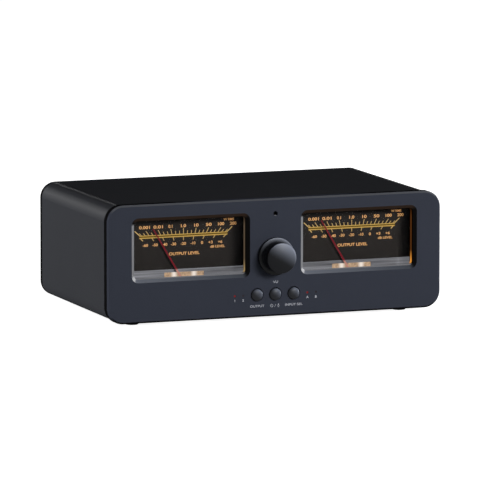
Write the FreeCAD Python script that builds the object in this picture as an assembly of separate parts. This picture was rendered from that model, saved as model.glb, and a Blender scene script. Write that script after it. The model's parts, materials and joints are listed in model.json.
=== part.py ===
"""Stereo analog VU meter unit with a speaker switch, in millimetres.

Every piece is drawn in panel coordinates: X to the right, Y backwards from the front panel's face and
Z upwards from the panel's bottom edge. The export moves it so that the origin is the middle of the
footprint, at the bottom of the feet, with +Z up and the front facing -Y.
"""
import FreeCAD, Part
import math
import os

# Housing
PANEL_W = 200.0
PANEL_H = 66.8
PANEL_R = 9.5
PANEL_T = 5.5
PANEL_CHAMFER = 1.0
BODY_D = 118.1
REAR_T = 3.0
SLEEVE_INSET = 0.66
SLEEVE_R = 8.85
SLEEVE_CHAMFER = 0.5
WALL = 2.5
FOOT_R = 4.0
FOOT_DROP = 2.3
FOOT_INSET = 19.5
FOOT_SETBACK = 14.6
FOOT_ROUND = 0.5

# Tie screws and their channels
TIE_INSET = 6.2
TIE_R = 1.5
TIE_PLAY = 0.2
TIE_DEPTH = 3.9
TIE_HEAD_R = 2.8
TIE_HEAD_H = 1.7
TIE_SOCKET_R = 1.15
CHANNEL_WALL = 1.7
CHANNEL_SLOT = 1.6

# Meter windows in the front panel
WINDOW_MARGIN = 14.45
WINDOW_W = 70.3
WINDOW_H = 36.4
WINDOW_Z = 22.8
WINDOW_R = 4.0
BEVEL_W = 1.86
BEVEL_D = 1.62

# Meter housings
COVER_LAP = 1.85
COVER_LAP_LOW = 1.6
COVER_LAP_HIGH = 1.8
COVER_R = 2.0
COVER_T = 1.4
COVER_DEPTH = 7.5
CHIN_HALF = 15.4
CHIN_Z0 = 9.9
CASE_T = 1.4
CASE_PLAY = 0.2
CASE_FLANGE_T = 1.2
CASE_SHELF = 4.8
CHIN_DEPTH = 18.0
CHIN_TOP = 31.0
EAR_R = 2.9
EAR_SET_OUT = 3.4
EAR_SET_IN = 3.0
EAR_OUT_Z = 42.0
EAR_IN_Z = 55.5

# Dials
DIAL_GAP = 1.6
DIAL_T = 0.5
STRIP_T = 0.3
STRIP_Z1 = 27.95
SLOT_HALF = 11.8
SLOT_Z0 = 23.15
SLOT_Z1 = 26.25
DIFFUSER_T = 1.5
DIFFUSER_HALF = 12.8
DIFFUSER_LEG = 1.4
DIFFUSER_Z1 = 27.25
LAMP_BOARD_T = 1.0
LAMP_BOARD_Z1 = 33.0
LAMP_X = 6.5
LAMP_Z = 24.75
LAMP_W = 3.5
LAMP_H = 2.8
LAMP_T = 1.2

# Meter movements
PIVOT_Z = 19.4
NEEDLE_GAP = 1.7
NEEDLE_L = 37.2
NEEDLE_T = 0.3
NEEDLE_ROOT_W = 1.1
NEEDLE_TIP_W = 0.6
NEEDLE_REST = -30.5
TAIL_L = 5.4
TAIL_WEIGHT = 1.4
HUB_R = 1.6
HUB_T = 0.8
ARBOR_R = 0.6
PIVOT_R = 0.36
PIVOT_L = 1.1
SHOULDER = 0.2
JEWEL_R = 1.1
JEWEL_GRIP = 0.5
COIL_BACK = 4.0
COIL_L = 10.0
COIL_HALF = 5.25
COIL_BAND = 1.2
COIL_END = 0.9
COIL_T = 1.6
CORE_GAP = 0.45
YOKE_GAP = 0.5
YOKE_T = 1.2
CORE_WEB = 2.4
CORE_SHORT = 0.4
FRAME_HALF = 3.0
FRAME_T = 1.0
BRIDGE_GAP = 0.2
FRONT_BRIDGE_T = 0.7
BRIDGE_HALF = 8.0
SPRING_T = 0.2
SPRING_H = 0.4
SPRING_R0 = 0.8
SPRING_STEP = 0.5
SPRING_HALF_TURNS = 3
SPRING_GAP_FRONT = 1.1
SPRING_GAP_BACK = 0.4

# Knob and potentiometer
KNOB_Z = 34.1
KNOB_FLANGE_R = 10.7
KNOB_FLANGE_T = 1.7
KNOB_NECK_R = 7.9
KNOB_NECK_L = 1.3
KNOB_R = 8.65
KNOB_OUT = 11.4
KNOB_DOME = 0.35
KNOB_CHAMFER = 0.5
KNOB_LIFT = 0.5
KNOB_CAVITY_PLAY = 1.1
KNOB_CAVITY_L = 2.9
KNOB_CAP_T = 1.0
SET_SCREW_R = 1.5
SHAFT_R = 3.0
SHAFT_SHORT = 2.4
BUSHING_WALL = 0.5
BUSHING_OUT = 2.6
NUT_WALL = 1.5
NUT_T = 2.0
WASHER_LAP = 0.4
WASHER_T = 0.4
POT_HALF = 8.2
POT_HALF_Z = 8.5

# Buttons, indicator lamps and microphone
BUTTON_X = (-11.0, 0.0, 11.0)
BUTTON_Z = 12.5
BUTTON_HOLE_R = 3.9
BUTTON_GAP = 0.6
BUTTON_OUT = 0.9
BUTTON_DOME = 0.4
BUTTON_FLANGE_LAP = 0.8
BUTTON_FLANGE_T = 1.0
BUTTON_LIFT = 0.3
BUTTON_STEM_R = 1.6
BUTTON_REACH = 0.5
SWITCH_WALL = 1.4
SWITCH_T = 3.5
SWITCH_WELL = 1.3
LAMP_HOLE_X = (-24.4, -19.4, 19.2, 24.3)
LAMP_HOLE_R = 0.65
PIPE_GAP = 0.05
CHIP_T = 1.0
CHIP_HALF = 1.0
MIC_Z = 58.2
MIC_HOLE_R = 1.3
MIC_R = 3.0
MIC_L = 5.0
MIC_POCKET = 3.0
MIC_PIN_R = 0.3
MIC_PIN_X = 1.27

# Front board
BOARD_T = 1.6
BOARD_GAP = 7.5
BOARD_HALF = 31.0
BOARD_Z0 = 4.6
BOARD_Z1 = 19.6
COLUMN_HALF = 11.8
COLUMN_Z1 = 50.0
TONGUE_HALF = 6.5
TONGUE_Z1 = 61.4
SPACER_AT = ((-28.0, 7.6), (28.0, 7.6))
SPACER_FLAT = 2.5
SMALL_R = 1.2
SMALL_HEAD_R = 2.2
SMALL_HEAD_H = 1.4
SMALL_BITE = 3.0

# Main board
MAIN_Z = 12.0
MAIN_Y0 = 34.0
MAIN_REAR_GAP = 1.5
MAIN_SIDE_GAP = 0.5
RAIL_REACH = 3.0
RAIL_T = 1.5
RAIL_PLAY = 0.15
RELAY_X = (-62.5, -37.5, -12.5, 12.5, 37.5, 62.5)
RELAY_SETBACK = 37.1
RELAY_SIZE = (15.5, 19.0, 15.3)

# Binding posts
POST_PITCH = 19.05
POST_PAIR_X = (-60.0, -20.0, 20.0, 60.0)
POST_ROW_Z = (24.0, 46.0)
POST_OUT = 17.0
STUD_R = 2.85
STUD_RECESS = 0.5
SOCKET_R = 2.0
SOCKET_L = 14.0
BLOCK_RIM = 3.0
BLOCK_T = 3.0
BLOCK_CORNER = 2.0
BLOCK_NECK = 1.6
BLOCK_PLAY = 0.15
BLOCK_LUG = 0.9
BLOCK_LUG_L = 3.0
CAP_R = 5.3
CAP_LIFT = 0.3
CAP_FLATS = 12
POST_NUT_WALL = 1.15
POST_NUT_T = 2.5

# Supply inlet
JACK_INSET = 10.84
JACK_HALF = 4.5
JACK_H = 11.0
JACK_L = 14.0
JACK_NOSE_R = 4.0
JACK_BORE_R = 2.85
JACK_BORE_L = 9.0
JACK_PIN_R = 1.0
JACK_PIN_SHY = 1.0

# Clearances
FIT = 0.03
RUN = 0.06

# Places that several pieces share
SLEEVE_Y1 = BODY_D - REAR_T
SLEEVE_HALF = PANEL_W / 2 - SLEEVE_INSET
SLEEVE_TOP = PANEL_H - SLEEVE_INSET
INNER_HALF = SLEEVE_HALF - WALL
TIE_X = SLEEVE_HALF - TIE_INSET
TIE_Z = (SLEEVE_INSET + TIE_INSET, SLEEVE_TOP - TIE_INSET)
CHANNEL_BORE_R = TIE_R + TIE_PLAY
CHANNEL_R = CHANNEL_BORE_R + CHANNEL_WALL
FOOT_X = PANEL_W / 2 - FOOT_INSET
METER_X = PANEL_W / 2 - WINDOW_MARGIN - WINDOW_W / 2
COVER_HALF = WINDOW_W / 2 + COVER_LAP
COVER_Z0 = WINDOW_Z - COVER_LAP_LOW
COVER_Z1 = WINDOW_Z + WINDOW_H + COVER_LAP_HIGH
COVER_Y1 = PANEL_T + COVER_DEPTH
EAR_OUT = COVER_HALF + EAR_SET_OUT
EAR_IN = -COVER_HALF - EAR_SET_IN
SHELF_Y = COVER_Y1 + CASE_SHELF
CHIN_Y1 = COVER_Y1 + CHIN_DEPTH
DIAL_HALF = COVER_HALF - 2 * COVER_T + 1.2
FRONT_BRIDGE_Y = PANEL_T + COVER_T + BRIDGE_GAP
JEWEL_Y = FRONT_BRIDGE_Y + FRONT_BRIDGE_T + JEWEL_GRIP
NEEDLE_Y = JEWEL_Y + SHOULDER + NEEDLE_GAP
DIAL_Y = NEEDLE_Y + DIAL_GAP
COIL_Y0 = COVER_Y1 + COIL_BACK
COIL_Y1 = COIL_Y0 + COIL_L
SPRING_Y = (DIAL_Y + DIAL_T + SPRING_GAP_FRONT, COIL_Y1 + SPRING_GAP_BACK)
LAMP_BOARD_Y = SHELF_Y - CASE_T
LAMP_BOARD_HALF = CHIN_HALF - CASE_T - 0.2
EAR_FACE = COVER_Y1 + CASE_FLANGE_T
YOKE_R = COIL_HALF + YOKE_GAP
SPRING_END_R = SPRING_R0 + (SPRING_HALF_TURNS - 1) * SPRING_STEP + SPRING_T
CORE_R = COIL_HALF - COIL_BAND - CORE_GAP
BOARD_Y = PANEL_T + BOARD_GAP
BUSHING_R = SHAFT_R + BUSHING_WALL
NUT_FLAT = BUSHING_R + NUT_WALL
WASHER_R = NUT_FLAT + WASHER_LAP
KNOB_CAVITY_R = WASHER_R + KNOB_CAVITY_PLAY
SHAFT_IN = BOARD_Y - SHAFT_SHORT
BUTTON_R = BUTTON_HOLE_R - BUTTON_GAP
BUTTON_FLANGE_R = BUTTON_HOLE_R + BUTTON_FLANGE_LAP
SWITCH_HALF = BUTTON_STEM_R + SWITCH_WALL
PIPE_R = LAMP_HOLE_R - PIPE_GAP
MAIN_TOP = MAIN_Z + BOARD_T
RELAY_Y = SLEEVE_Y1 - RELAY_SETBACK
JACK_X = INNER_HALF - JACK_INSET
POST_NUT_FLAT = STUD_R + POST_NUT_WALL
BLOCK_MARGIN = POST_NUT_FLAT + BLOCK_RIM
POSTS = [(pair + side * POST_PITCH / 2, row) for row in POST_ROW_Z
         for pair in POST_PAIR_X for side in (-1, 1)]
BLOCKS = [(POSTS[i][0], POSTS[i + 3][0], POSTS[i][1]) for i in range(0, len(POSTS), 4)]
FRONT_Y = KNOB_OUT - (KNOB_OUT + BODY_D + POST_OUT) / 2

V = FreeCAD.Vector


def box(x0, x1, y0, y1, z0, z1):
    return Part.makeBox(x1 - x0, y1 - y0, z1 - z0, V(x0, y0, z0))


def rod(r, x, z, y0, y1):
    return Part.makeCylinder(r, y1 - y0, V(x, y0, z), V(0, 1, 0))


def pipe(r_out, r_in, x, z, y0, y1):
    return rod(r_out, x, z, y0, y1).cut(rod(r_in, x, z, y0, y1))


def flat_rod(sides, corner, x, z, y0, y1, start=0.0):
    """A bar of so many flats, as wide across its corners as twice the given size."""
    turns = [start + 2 * math.pi * i / sides for i in range(sides + 1)]
    points = [V(x + corner * math.cos(a), y0, z + corner * math.sin(a)) for a in turns]
    return Part.Face(Part.makePolygon(points)).extrude(V(0, y1 - y0, 0))


def hex_rod(flat, x, z, y0, y1):
    return flat_rod(6, flat / math.cos(math.pi / 6), x, z, y0, y1)


def rounded_wire(x0, x1, z0, z1, r, y):
    """A rounded rectangle in the plane at depth y."""
    edges = []
    centres = [(x1 - r, z0 + r, -90), (x1 - r, z1 - r, 0), (x0 + r, z1 - r, 90), (x0 + r, z0 + r, 180)]
    arcs = []
    for cx, cz, start in centres:
        at = [math.radians(start + turn) for turn in (0, 45, 90)]
        arcs.append([V(cx + r * math.cos(a), y, cz + r * math.sin(a)) for a in at])
    for i, (first, middle, last) in enumerate(arcs):
        edges.append(Part.Arc(first, middle, last).toShape())
        edges.append(Part.LineSegment(last, arcs[(i + 1) % 4][0]).toShape())
    return Part.Wire(edges)


def slab(x0, x1, z0, z1, r, y0, y1):
    return Part.Face(rounded_wire(x0, x1, z0, z1, r, y0)).extrude(V(0, y1 - y0, 0))


def turned(profile, x, z):
    """A body of revolution about the Y axis through (x, z), from (radius, y) points."""
    points = [V(r, y, 0) for r, y in profile]
    points.append(points[0])
    body = Part.Face(Part.makePolygon(points)).revolve(V(0, 0, 0), V(0, 1, 0), 360)
    body.translate(V(x, 0, z))
    return body


def join(shapes):
    body = shapes[0]
    for shape in shapes[1:]:
        body = body.fuse(shape)
    return body.removeSplitter()


def group(shapes):
    return Part.makeCompound(shapes)


def save(name, shape):
    shape = shape.copy()
    shape.translate(V(0, FRONT_Y, FOOT_DROP))
    shape.exportStep(f"parts/{name}.step")


def edges_at(shape, y):
    """The edges that lie wholly in the plane at depth y."""
    return [e for e in shape.Edges if abs(e.BoundBox.YMin - y) < 1e-6 and abs(e.BoundBox.YMax - y) < 1e-6]


def corners_along(block):
    """The four edges of a box that run front to back."""
    return [e for e in block.Edges if e.BoundBox.YLength > max(e.BoundBox.XLength, e.BoundBox.ZLength)]


# Housing


def tie_places():
    return [(side * TIE_X, z) for side in (-1, 1) for z in TIE_Z]


def window_cut(x):
    """The bevelled window: a tapered frame, then straight walls to the back."""
    x0, x1 = x - WINDOW_W / 2, x + WINDOW_W / 2
    z0, z1 = WINDOW_Z, WINDOW_Z + WINDOW_H
    inner = (x0 + BEVEL_W, x1 - BEVEL_W, z0 + BEVEL_W, z1 - BEVEL_W, WINDOW_R - BEVEL_W)
    mouth = rounded_wire(x0, x1, z0, z1, WINDOW_R, 0)
    throat = rounded_wire(*inner, BEVEL_D)
    bevel = Part.makeLoft([mouth, throat], True, True)
    return bevel.fuse(slab(*inner, BEVEL_D, PANEL_T))


def ear_places(side):
    """Where one meter's two screws go: one on its outer side and one beside the microphone."""
    x = side * METER_X
    return [(x + side * EAR_OUT, EAR_OUT_Z), (x + side * EAR_IN, EAR_IN_Z)]


def front_panel():
    body = slab(-PANEL_W / 2, PANEL_W / 2, 0, PANEL_H, PANEL_R, 0, PANEL_T)
    body = body.makeChamfer(PANEL_CHAMFER, edges_at(body, 0))
    cuts = [window_cut(side * METER_X) for side in (-1, 1)]
    cuts.append(rod(BUSHING_R + FIT, 0, KNOB_Z, 0, PANEL_T))
    cuts += [rod(BUTTON_HOLE_R, x, BUTTON_Z, 0, PANEL_T) for x in BUTTON_X]
    cuts += [rod(LAMP_HOLE_R, x, BUTTON_Z, 0, PANEL_T) for x in LAMP_HOLE_X]
    cuts.append(rod(MIC_HOLE_R, 0, MIC_Z, 0, PANEL_T))
    cuts.append(rod(MIC_R + FIT, 0, MIC_Z, PANEL_T - MIC_POCKET, PANEL_T))
    cuts += [rod(TIE_R + FIT, x, z, PANEL_T - TIE_DEPTH, PANEL_T) for x, z in tie_places()]
    small = [*SPACER_AT, *ear_places(-1), *ear_places(1)]
    cuts += [rod(SMALL_R + FIT, x, z, PANEL_T - SMALL_BITE, PANEL_T) for x, z in small]
    return body.cut(cuts)


def case_sleeve():
    outer = slab(-SLEEVE_HALF, SLEEVE_HALF, SLEEVE_INSET, SLEEVE_TOP, SLEEVE_R, PANEL_T, SLEEVE_Y1)
    inner = slab(-INNER_HALF, INNER_HALF, SLEEVE_INSET + WALL, SLEEVE_TOP - WALL, SLEEVE_R - WALL,
                 PANEL_T, SLEEVE_Y1)
    shell = outer.makeChamfer(SLEEVE_CHAMFER, edges_at(outer, PANEL_T) + edges_at(outer, SLEEVE_Y1))
    shell = shell.cut(inner)
    extras = []
    cuts = []
    for x, z in tie_places():
        extras.append(rod(CHANNEL_R, x, z, PANEL_T, SLEEVE_Y1).common(outer))
        cuts.append(rod(CHANNEL_BORE_R, x, z, PANEL_T, SLEEVE_Y1))
        slot = box(0, 2 * CHANNEL_R, PANEL_T, SLEEVE_Y1, -CHANNEL_SLOT / 2, CHANNEL_SLOT / 2)
        slot.rotate(V(0, 0, 0), V(0, 1, 0), 0 if x < 0 else 180)
        slot.translate(V(x, 0, z))
        cuts.append(slot)
    for side in (-1, 1):
        x0, x1 = sorted((side * (INNER_HALF - RAIL_REACH), side * (INNER_HALF + WALL / 2)))
        extras.append(box(x0, x1, PANEL_T + 2 * EAR_R, SLEEVE_Y1, MAIN_Z - RAIL_T, MAIN_Z))
        upper = MAIN_TOP + RAIL_PLAY
        extras.append(box(x0, x1, PANEL_T + 2 * EAR_R, SLEEVE_Y1, upper, upper + RAIL_T))
    return join([shell, *extras]).cut(cuts)


def rear_panel():
    body = slab(-SLEEVE_HALF, SLEEVE_HALF, SLEEVE_INSET, SLEEVE_TOP, SLEEVE_R, SLEEVE_Y1, BODY_D)
    body = body.makeChamfer(SLEEVE_CHAMFER, edges_at(body, BODY_D))
    cuts = [rod(CHANNEL_BORE_R, x, z, SLEEVE_Y1, BODY_D) for x, z in tie_places()]
    cuts += [block_neck(*block, BLOCK_PLAY, SLEEVE_Y1, BODY_D) for block in BLOCKS]
    cuts.append(rod(JACK_NOSE_R + FIT, JACK_X, MAIN_TOP + JACK_H / 2, SLEEVE_Y1, BODY_D))
    return body.cut(cuts)


def tie_screws():
    screws = []
    for x, z in tie_places():
        shank = rod(TIE_R, x, z, PANEL_T - TIE_DEPTH, BODY_D)
        head = rod(TIE_HEAD_R, x, z, BODY_D, BODY_D + TIE_HEAD_H)
        socket = hex_rod(TIE_SOCKET_R, x, z, BODY_D + TIE_HEAD_H / 2, BODY_D + TIE_HEAD_H)
        screws.append(shank.fuse(head).cut(socket))
    return group(screws)


def feet():
    pads = []
    for x in (-FOOT_X, FOOT_X):
        for y in (FOOT_SETBACK, BODY_D - FOOT_SETBACK):
            height = FOOT_DROP + SLEEVE_INSET
            pad = Part.makeCylinder(FOOT_R, height, V(x, y, -FOOT_DROP))
            rim = [e for e in pad.Edges if e.BoundBox.ZMax < -FOOT_DROP + 1e-6]
            pads.append(pad.makeChamfer(FOOT_ROUND, rim))
    return group(pads)


# Meter housings and dials


def meter_outline(x, inset, y0, y1, chin_z1):
    """The meter's wide body over its narrow chin, both drawn in by inset."""
    r = COVER_R - inset
    wide = slab(x - COVER_HALF + inset, x + COVER_HALF - inset, COVER_Z0 + inset, COVER_Z1 - inset, r, y0, y1)
    chin = slab(x - CHIN_HALF + inset, x + CHIN_HALF - inset, CHIN_Z0 + inset, chin_z1 - inset, r, y0, y1)
    return wide.fuse(chin).removeSplitter()


def meter_cover(x):
    outer = meter_outline(x, 0, PANEL_T, COVER_Y1, CHIN_TOP)
    return outer.cut(meter_outline(x, COVER_T, PANEL_T + COVER_T, COVER_Y1, CHIN_TOP))


def meter_case(side):
    x = side * METER_X
    lip = COVER_T + CASE_PLAY
    flange = meter_outline(x, 0, COVER_Y1, EAR_FACE, CHIN_TOP)
    dial_back = DIAL_Y + DIAL_T
    shelf = box(x - COVER_HALF + lip, x + COVER_HALF - lip, dial_back, SHELF_Y,
                COVER_Z0 + lip, COVER_Z1 - lip)
    chin = slab(x - CHIN_HALF, x + CHIN_HALF, CHIN_Z0, CHIN_TOP, COVER_R, COVER_Y1, CHIN_Y1)
    inset = lip + CASE_T
    tray = box(x - COVER_HALF + inset, x + COVER_HALF - inset, dial_back, LAMP_BOARD_Y,
               COVER_Z0 + inset, COVER_Z1 - inset)
    pocket = box(x - CHIN_HALF + CASE_T, x + CHIN_HALF - CASE_T, dial_back, CHIN_Y1 - CASE_T,
                 CHIN_Z0 + CASE_T, CHIN_TOP - CASE_T)
    parts = [flange, shelf, chin]
    holes = [tray, pocket]
    for ear_x, ear_z in ear_places(side):
        parts.append(rod(EAR_R, ear_x, ear_z, PANEL_T, EAR_FACE))
        inner = x + math.copysign(COVER_HALF - COVER_T, ear_x - x)
        x0, x1 = sorted((inner, ear_x))
        parts.append(box(x0, x1, COVER_Y1, EAR_FACE, ear_z - EAR_R, ear_z + EAR_R))
        holes.append(rod(SMALL_R + RUN, ear_x, ear_z, PANEL_T, EAR_FACE))
    return join(parts).cut(holes)


def dial_plate(x):
    z0 = COVER_Z0 + COVER_T + 0.2
    z1 = COVER_Z1 - COVER_T - 0.2
    plate = slab(x - DIAL_HALF, x + DIAL_HALF, z0, z1, COVER_R, DIAL_Y, DIAL_Y + DIAL_T)
    return plate.cut(box(x - SLOT_HALF, x + SLOT_HALF, DIAL_Y, DIAL_Y + DIAL_T, SLOT_Z0, SLOT_Z1))


def sill_strip(x):
    z0 = COVER_Z0 + COVER_T + 0.2
    strip = box(x - DIAL_HALF, x + DIAL_HALF, DIAL_Y - STRIP_T, DIAL_Y, z0, STRIP_Z1)
    return strip.cut(box(x - SLOT_HALF, x + SLOT_HALF, DIAL_Y - STRIP_T, DIAL_Y, SLOT_Z0, SLOT_Z1))


def lamp_diffuser(x):
    """A bar behind the dial with a lip that fills the slot and two legs down to the lamp board."""
    back = DIAL_Y + DIAL_T
    half = DIFFUSER_HALF
    bar = box(x - half, x + half, back, back + DIFFUSER_T, SLOT_Z0 - 0.4, DIFFUSER_Z1)
    lip = box(x - SLOT_HALF + 0.1, x + SLOT_HALF - 0.1, DIAL_Y - STRIP_T / 2, back,
              SLOT_Z0 + 0.1, SLOT_Z1 - 0.1)
    legs = [box(x0, x0 + DIFFUSER_LEG, back + DIFFUSER_T, LAMP_BOARD_Y - LAMP_BOARD_T,
                SLOT_Z0 - 0.4, DIFFUSER_Z1) for x0 in (x - half, x + half - DIFFUSER_LEG)]
    return join([bar, lip, *legs])


def lamp_board(x):
    front = LAMP_BOARD_Y - LAMP_BOARD_T
    return box(x - LAMP_BOARD_HALF, x + LAMP_BOARD_HALF, front, LAMP_BOARD_Y, SLOT_Z0 - 0.4, LAMP_BOARD_Z1)


def meter_lamps(x):
    front = LAMP_BOARD_Y - LAMP_BOARD_T
    return [box(x + at - LAMP_W / 2, x + at + LAMP_W / 2, front - LAMP_T, front,
                LAMP_Z - LAMP_H / 2, LAMP_Z + LAMP_H / 2) for at in (-LAMP_X, LAMP_X)]


# Meter movements


def magnet_yoke(x):
    return pipe(YOKE_R + YOKE_T, YOKE_R, x, PIVOT_Z, COIL_Y0 + 1, COIL_Y1 - 1)


def core_magnet(x):
    """The round core with its two webs, which hold it in the yoke outside the coil's sweep."""
    y0 = COIL_Y0 + COIL_END + CORE_SHORT
    y1 = COIL_Y1 - COIL_END - CORE_SHORT
    reach = math.sqrt((YOKE_R - FIT) ** 2 - (CORE_WEB / 2) ** 2)
    web = box(x - CORE_WEB / 2, x + CORE_WEB / 2, y0, y1, PIVOT_Z - reach, PIVOT_Z + reach)
    return join([rod(CORE_R, x, PIVOT_Z, y0, y1), web])


def movement_frame(x):
    """A bent bracket: front bridge, floor and back bridge, with pads for the yoke and spring posts."""
    z0 = CHIN_Z0 + CASE_T
    floor_top = PIVOT_Z - YOKE_R - YOKE_T
    y1 = CHIN_Y1 - CASE_T
    bridge_y0 = FRONT_BRIDGE_Y
    front = box(x - FRAME_HALF, x + FRAME_HALF, bridge_y0, bridge_y0 + FRONT_BRIDGE_T, z0, PIVOT_Z + 2.6)
    floor = box(x - FRAME_HALF, x + FRAME_HALF, bridge_y0, y1, z0, floor_top)
    back = box(x - BRIDGE_HALF, x + BRIDGE_HALF, y1 - FRAME_T, y1, z0, PIVOT_Z + BRIDGE_HALF)
    pads = []
    for side in (-1, 1):
        x0, x1 = sorted((x + side * YOKE_R, x + side * BRIDGE_HALF))
        pads.append(box(x0, x1, COIL_Y1 - 1, y1 - FRAME_T, PIVOT_Z - 2, PIVOT_Z + 2))
    foot_z = PIVOT_Z - SPRING_END_R
    front_y, rear_y = SPRING_Y
    posts = [box(x - 0.5, x + 0.5, front_y, front_y + SPRING_H, floor_top, foot_z),
             box(x - 0.5, x + 0.5, rear_y, y1 - FRAME_T, foot_z - 1, foot_z)]
    holes = [rod(JEWEL_R + FIT, x, PIVOT_Z, bridge_y0, bridge_y0 + FRONT_BRIDGE_T),
             rod(JEWEL_R + FIT, x, PIVOT_Z, y1 - FRAME_T, y1)]
    return join([front, floor, back, *pads, *posts]).cut(holes)


def jewel_screws(x):
    """The two bearings, each with a blind hole that the pivot runs in."""
    front_y = FRONT_BRIDGE_Y
    front_end = JEWEL_Y
    back_y = CHIN_Y1 - CASE_T
    back_end = back_y - FRAME_T - 0.3
    front = rod(JEWEL_R, x, PIVOT_Z, front_y, front_end)
    front = front.cut(rod(PIVOT_R + RUN, x, PIVOT_Z, front_end - PIVOT_L, front_end))
    back = rod(JEWEL_R, x, PIVOT_Z, back_end, back_y)
    back = back.cut(rod(PIVOT_R + RUN, x, PIVOT_Z, back_end, back_end + PIVOT_L))
    return [front, back]


def hairspring(x, y):
    """A flat spiral of half circles, each wider than the last, whose outer end lies on its post."""
    ribbon = []
    for i in range(SPRING_HALF_TURNS):
        r = SPRING_R0 + i * SPRING_STEP
        odd = i % 2
        centre = x - odd * SPRING_STEP
        wide = r + 2 * SPRING_T
        z0 = PIVOT_Z - odd * wide
        half = box(centre - wide, centre + wide, y, y + SPRING_H, z0, z0 + wide)
        ribbon.append(pipe(r + SPRING_T, r, centre, PIVOT_Z, y, y + SPRING_H).common(half))
    spring = join(ribbon)
    spring.rotate(V(x, y, PIVOT_Z), V(0, 1, 0), 90)
    return spring


def at_rest(shape, x):
    """Turns a moving piece, drawn with its needle upright, to where the meter rests."""
    shape.rotate(V(x, 0, PIVOT_Z), V(0, 1, 0), NEEDLE_REST)
    return shape


def needle(x):
    """The pointer with its hub and its three weighted balance arms."""
    y0 = NEEDLE_Y - NEEDLE_T / 2
    z = PIVOT_Z
    root, tip = NEEDLE_ROOT_W / 2, NEEDLE_TIP_W / 2
    corners = [(-root, 0), (-tip, NEEDLE_L), (tip, NEEDLE_L), (root, 0)]
    points = [V(x + at, y0, z + up) for at, up in [*corners, corners[0]]]
    blade = Part.Face(Part.makePolygon(points)).extrude(V(0, NEEDLE_T, 0))
    tail = box(x - root, x + root, y0, y0 + NEEDLE_T, z - TAIL_L, z)
    cross = box(x - TAIL_L * 0.7, x + TAIL_L * 0.7, y0, y0 + NEEDLE_T, z - root, z + root)
    half = TAIL_WEIGHT / 2
    weights = [box(x + dx - half, x + dx + half, NEEDLE_Y - HUB_T / 2, NEEDLE_Y + HUB_T / 2,
                   z + dz - half, z + dz + half)
               for dx, dz in ((0, -TAIL_L), (-TAIL_L * 0.7, 0), (TAIL_L * 0.7, 0))]
    hub = rod(HUB_R, x, z, NEEDLE_Y - HUB_T / 2, NEEDLE_Y + HUB_T / 2)
    bore = rod(ARBOR_R + FIT, x, z, NEEDLE_Y - HUB_T / 2, NEEDLE_Y + HUB_T / 2)
    return at_rest(join([blade, tail, cross, hub, *weights]).cut(bore), x)


def coil(x):
    """The winding on its former, with a half arbor and its pivot at each end."""
    outer = box(x - COIL_HALF, x + COIL_HALF, COIL_Y0, COIL_Y1, PIVOT_Z - COIL_T / 2, PIVOT_Z + COIL_T / 2)
    half = COIL_HALF - COIL_BAND
    inner = box(x - half, x + half, COIL_Y0 + COIL_END, COIL_Y1 - COIL_END,
                PIVOT_Z - COIL_T, PIVOT_Z + COIL_T)
    winding = outer.cut(inner)
    front_end = JEWEL_Y
    back_end = CHIN_Y1 - CASE_T - FRAME_T - 0.3
    shoulder = SHOULDER
    front = [rod(ARBOR_R, x, PIVOT_Z, front_end + shoulder, COIL_Y0),
             rod(PIVOT_R, x, PIVOT_Z, front_end - PIVOT_L + shoulder, front_end + shoulder)]
    back = [rod(ARBOR_R, x, PIVOT_Z, COIL_Y1, back_end - shoulder),
            rod(PIVOT_R, x, PIVOT_Z, back_end - shoulder, back_end + PIVOT_L - shoulder)]
    return group([at_rest(piece, x) for piece in (winding, join(front), join(back))])


# Knob and potentiometer


def knob():
    """A turned knob: wide flange, narrow neck and a slightly domed front, hollow behind for the nut."""
    y0 = -KNOB_LIFT
    neck = y0 - KNOB_FLANGE_T
    barrel = neck - KNOB_NECK_L
    front = -KNOB_OUT
    cavity = y0 - KNOB_CAVITY_L
    bore_end = front + KNOB_CAP_T
    bore = SHAFT_R + FIT
    round_in = KNOB_FLANGE_R - 0.4
    profile = [(bore, cavity), (KNOB_CAVITY_R, cavity), (KNOB_CAVITY_R, y0), (KNOB_FLANGE_R, y0),
               (KNOB_FLANGE_R, neck + 0.4), (round_in, neck), (KNOB_NECK_R, neck), (KNOB_NECK_R, barrel),
               (KNOB_R, barrel), (KNOB_R, front + KNOB_DOME + KNOB_CHAMFER),
               (KNOB_R - KNOB_CHAMFER, front + KNOB_DOME), (KNOB_R / 2, front + KNOB_DOME / 4),
               (0, front), (0, bore_end), (bore, bore_end)]
    body = turned(profile, 0, KNOB_Z)
    screw_y = (barrel + front) / 2
    hole = Part.makeCylinder(SET_SCREW_R + FIT, 2 * KNOB_R, V(0, screw_y, KNOB_Z), V(0, 0, -1))
    return body.cut(hole)


def knob_set_screw():
    screw_y = (-KNOB_LIFT - KNOB_FLANGE_T - KNOB_NECK_L - KNOB_OUT) / 2
    start = SHAFT_R + FIT
    length = KNOB_R - start - 0.8
    screw = Part.makeCylinder(SET_SCREW_R, length, V(0, screw_y, KNOB_Z - start), V(0, 0, -1))
    mouth = V(0, screw_y, KNOB_Z - start - length)
    return screw.cut(Part.makeCylinder(SET_SCREW_R / 2, SET_SCREW_R, mouth, V(0, 0, 1)))


def knob_shaft():
    return rod(SHAFT_R, 0, KNOB_Z, -KNOB_OUT + KNOB_CAP_T + 0.2, SHAFT_IN)


def potentiometer():
    body = box(-POT_HALF, POT_HALF, PANEL_T, BOARD_Y, KNOB_Z - POT_HALF_Z, KNOB_Z + POT_HALF_Z)
    body = join([body, rod(BUSHING_R, 0, KNOB_Z, -BUSHING_OUT, PANEL_T)])
    return body.cut(rod(SHAFT_R + RUN, 0, KNOB_Z, -BUSHING_OUT, SHAFT_IN + 0.3))


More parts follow.
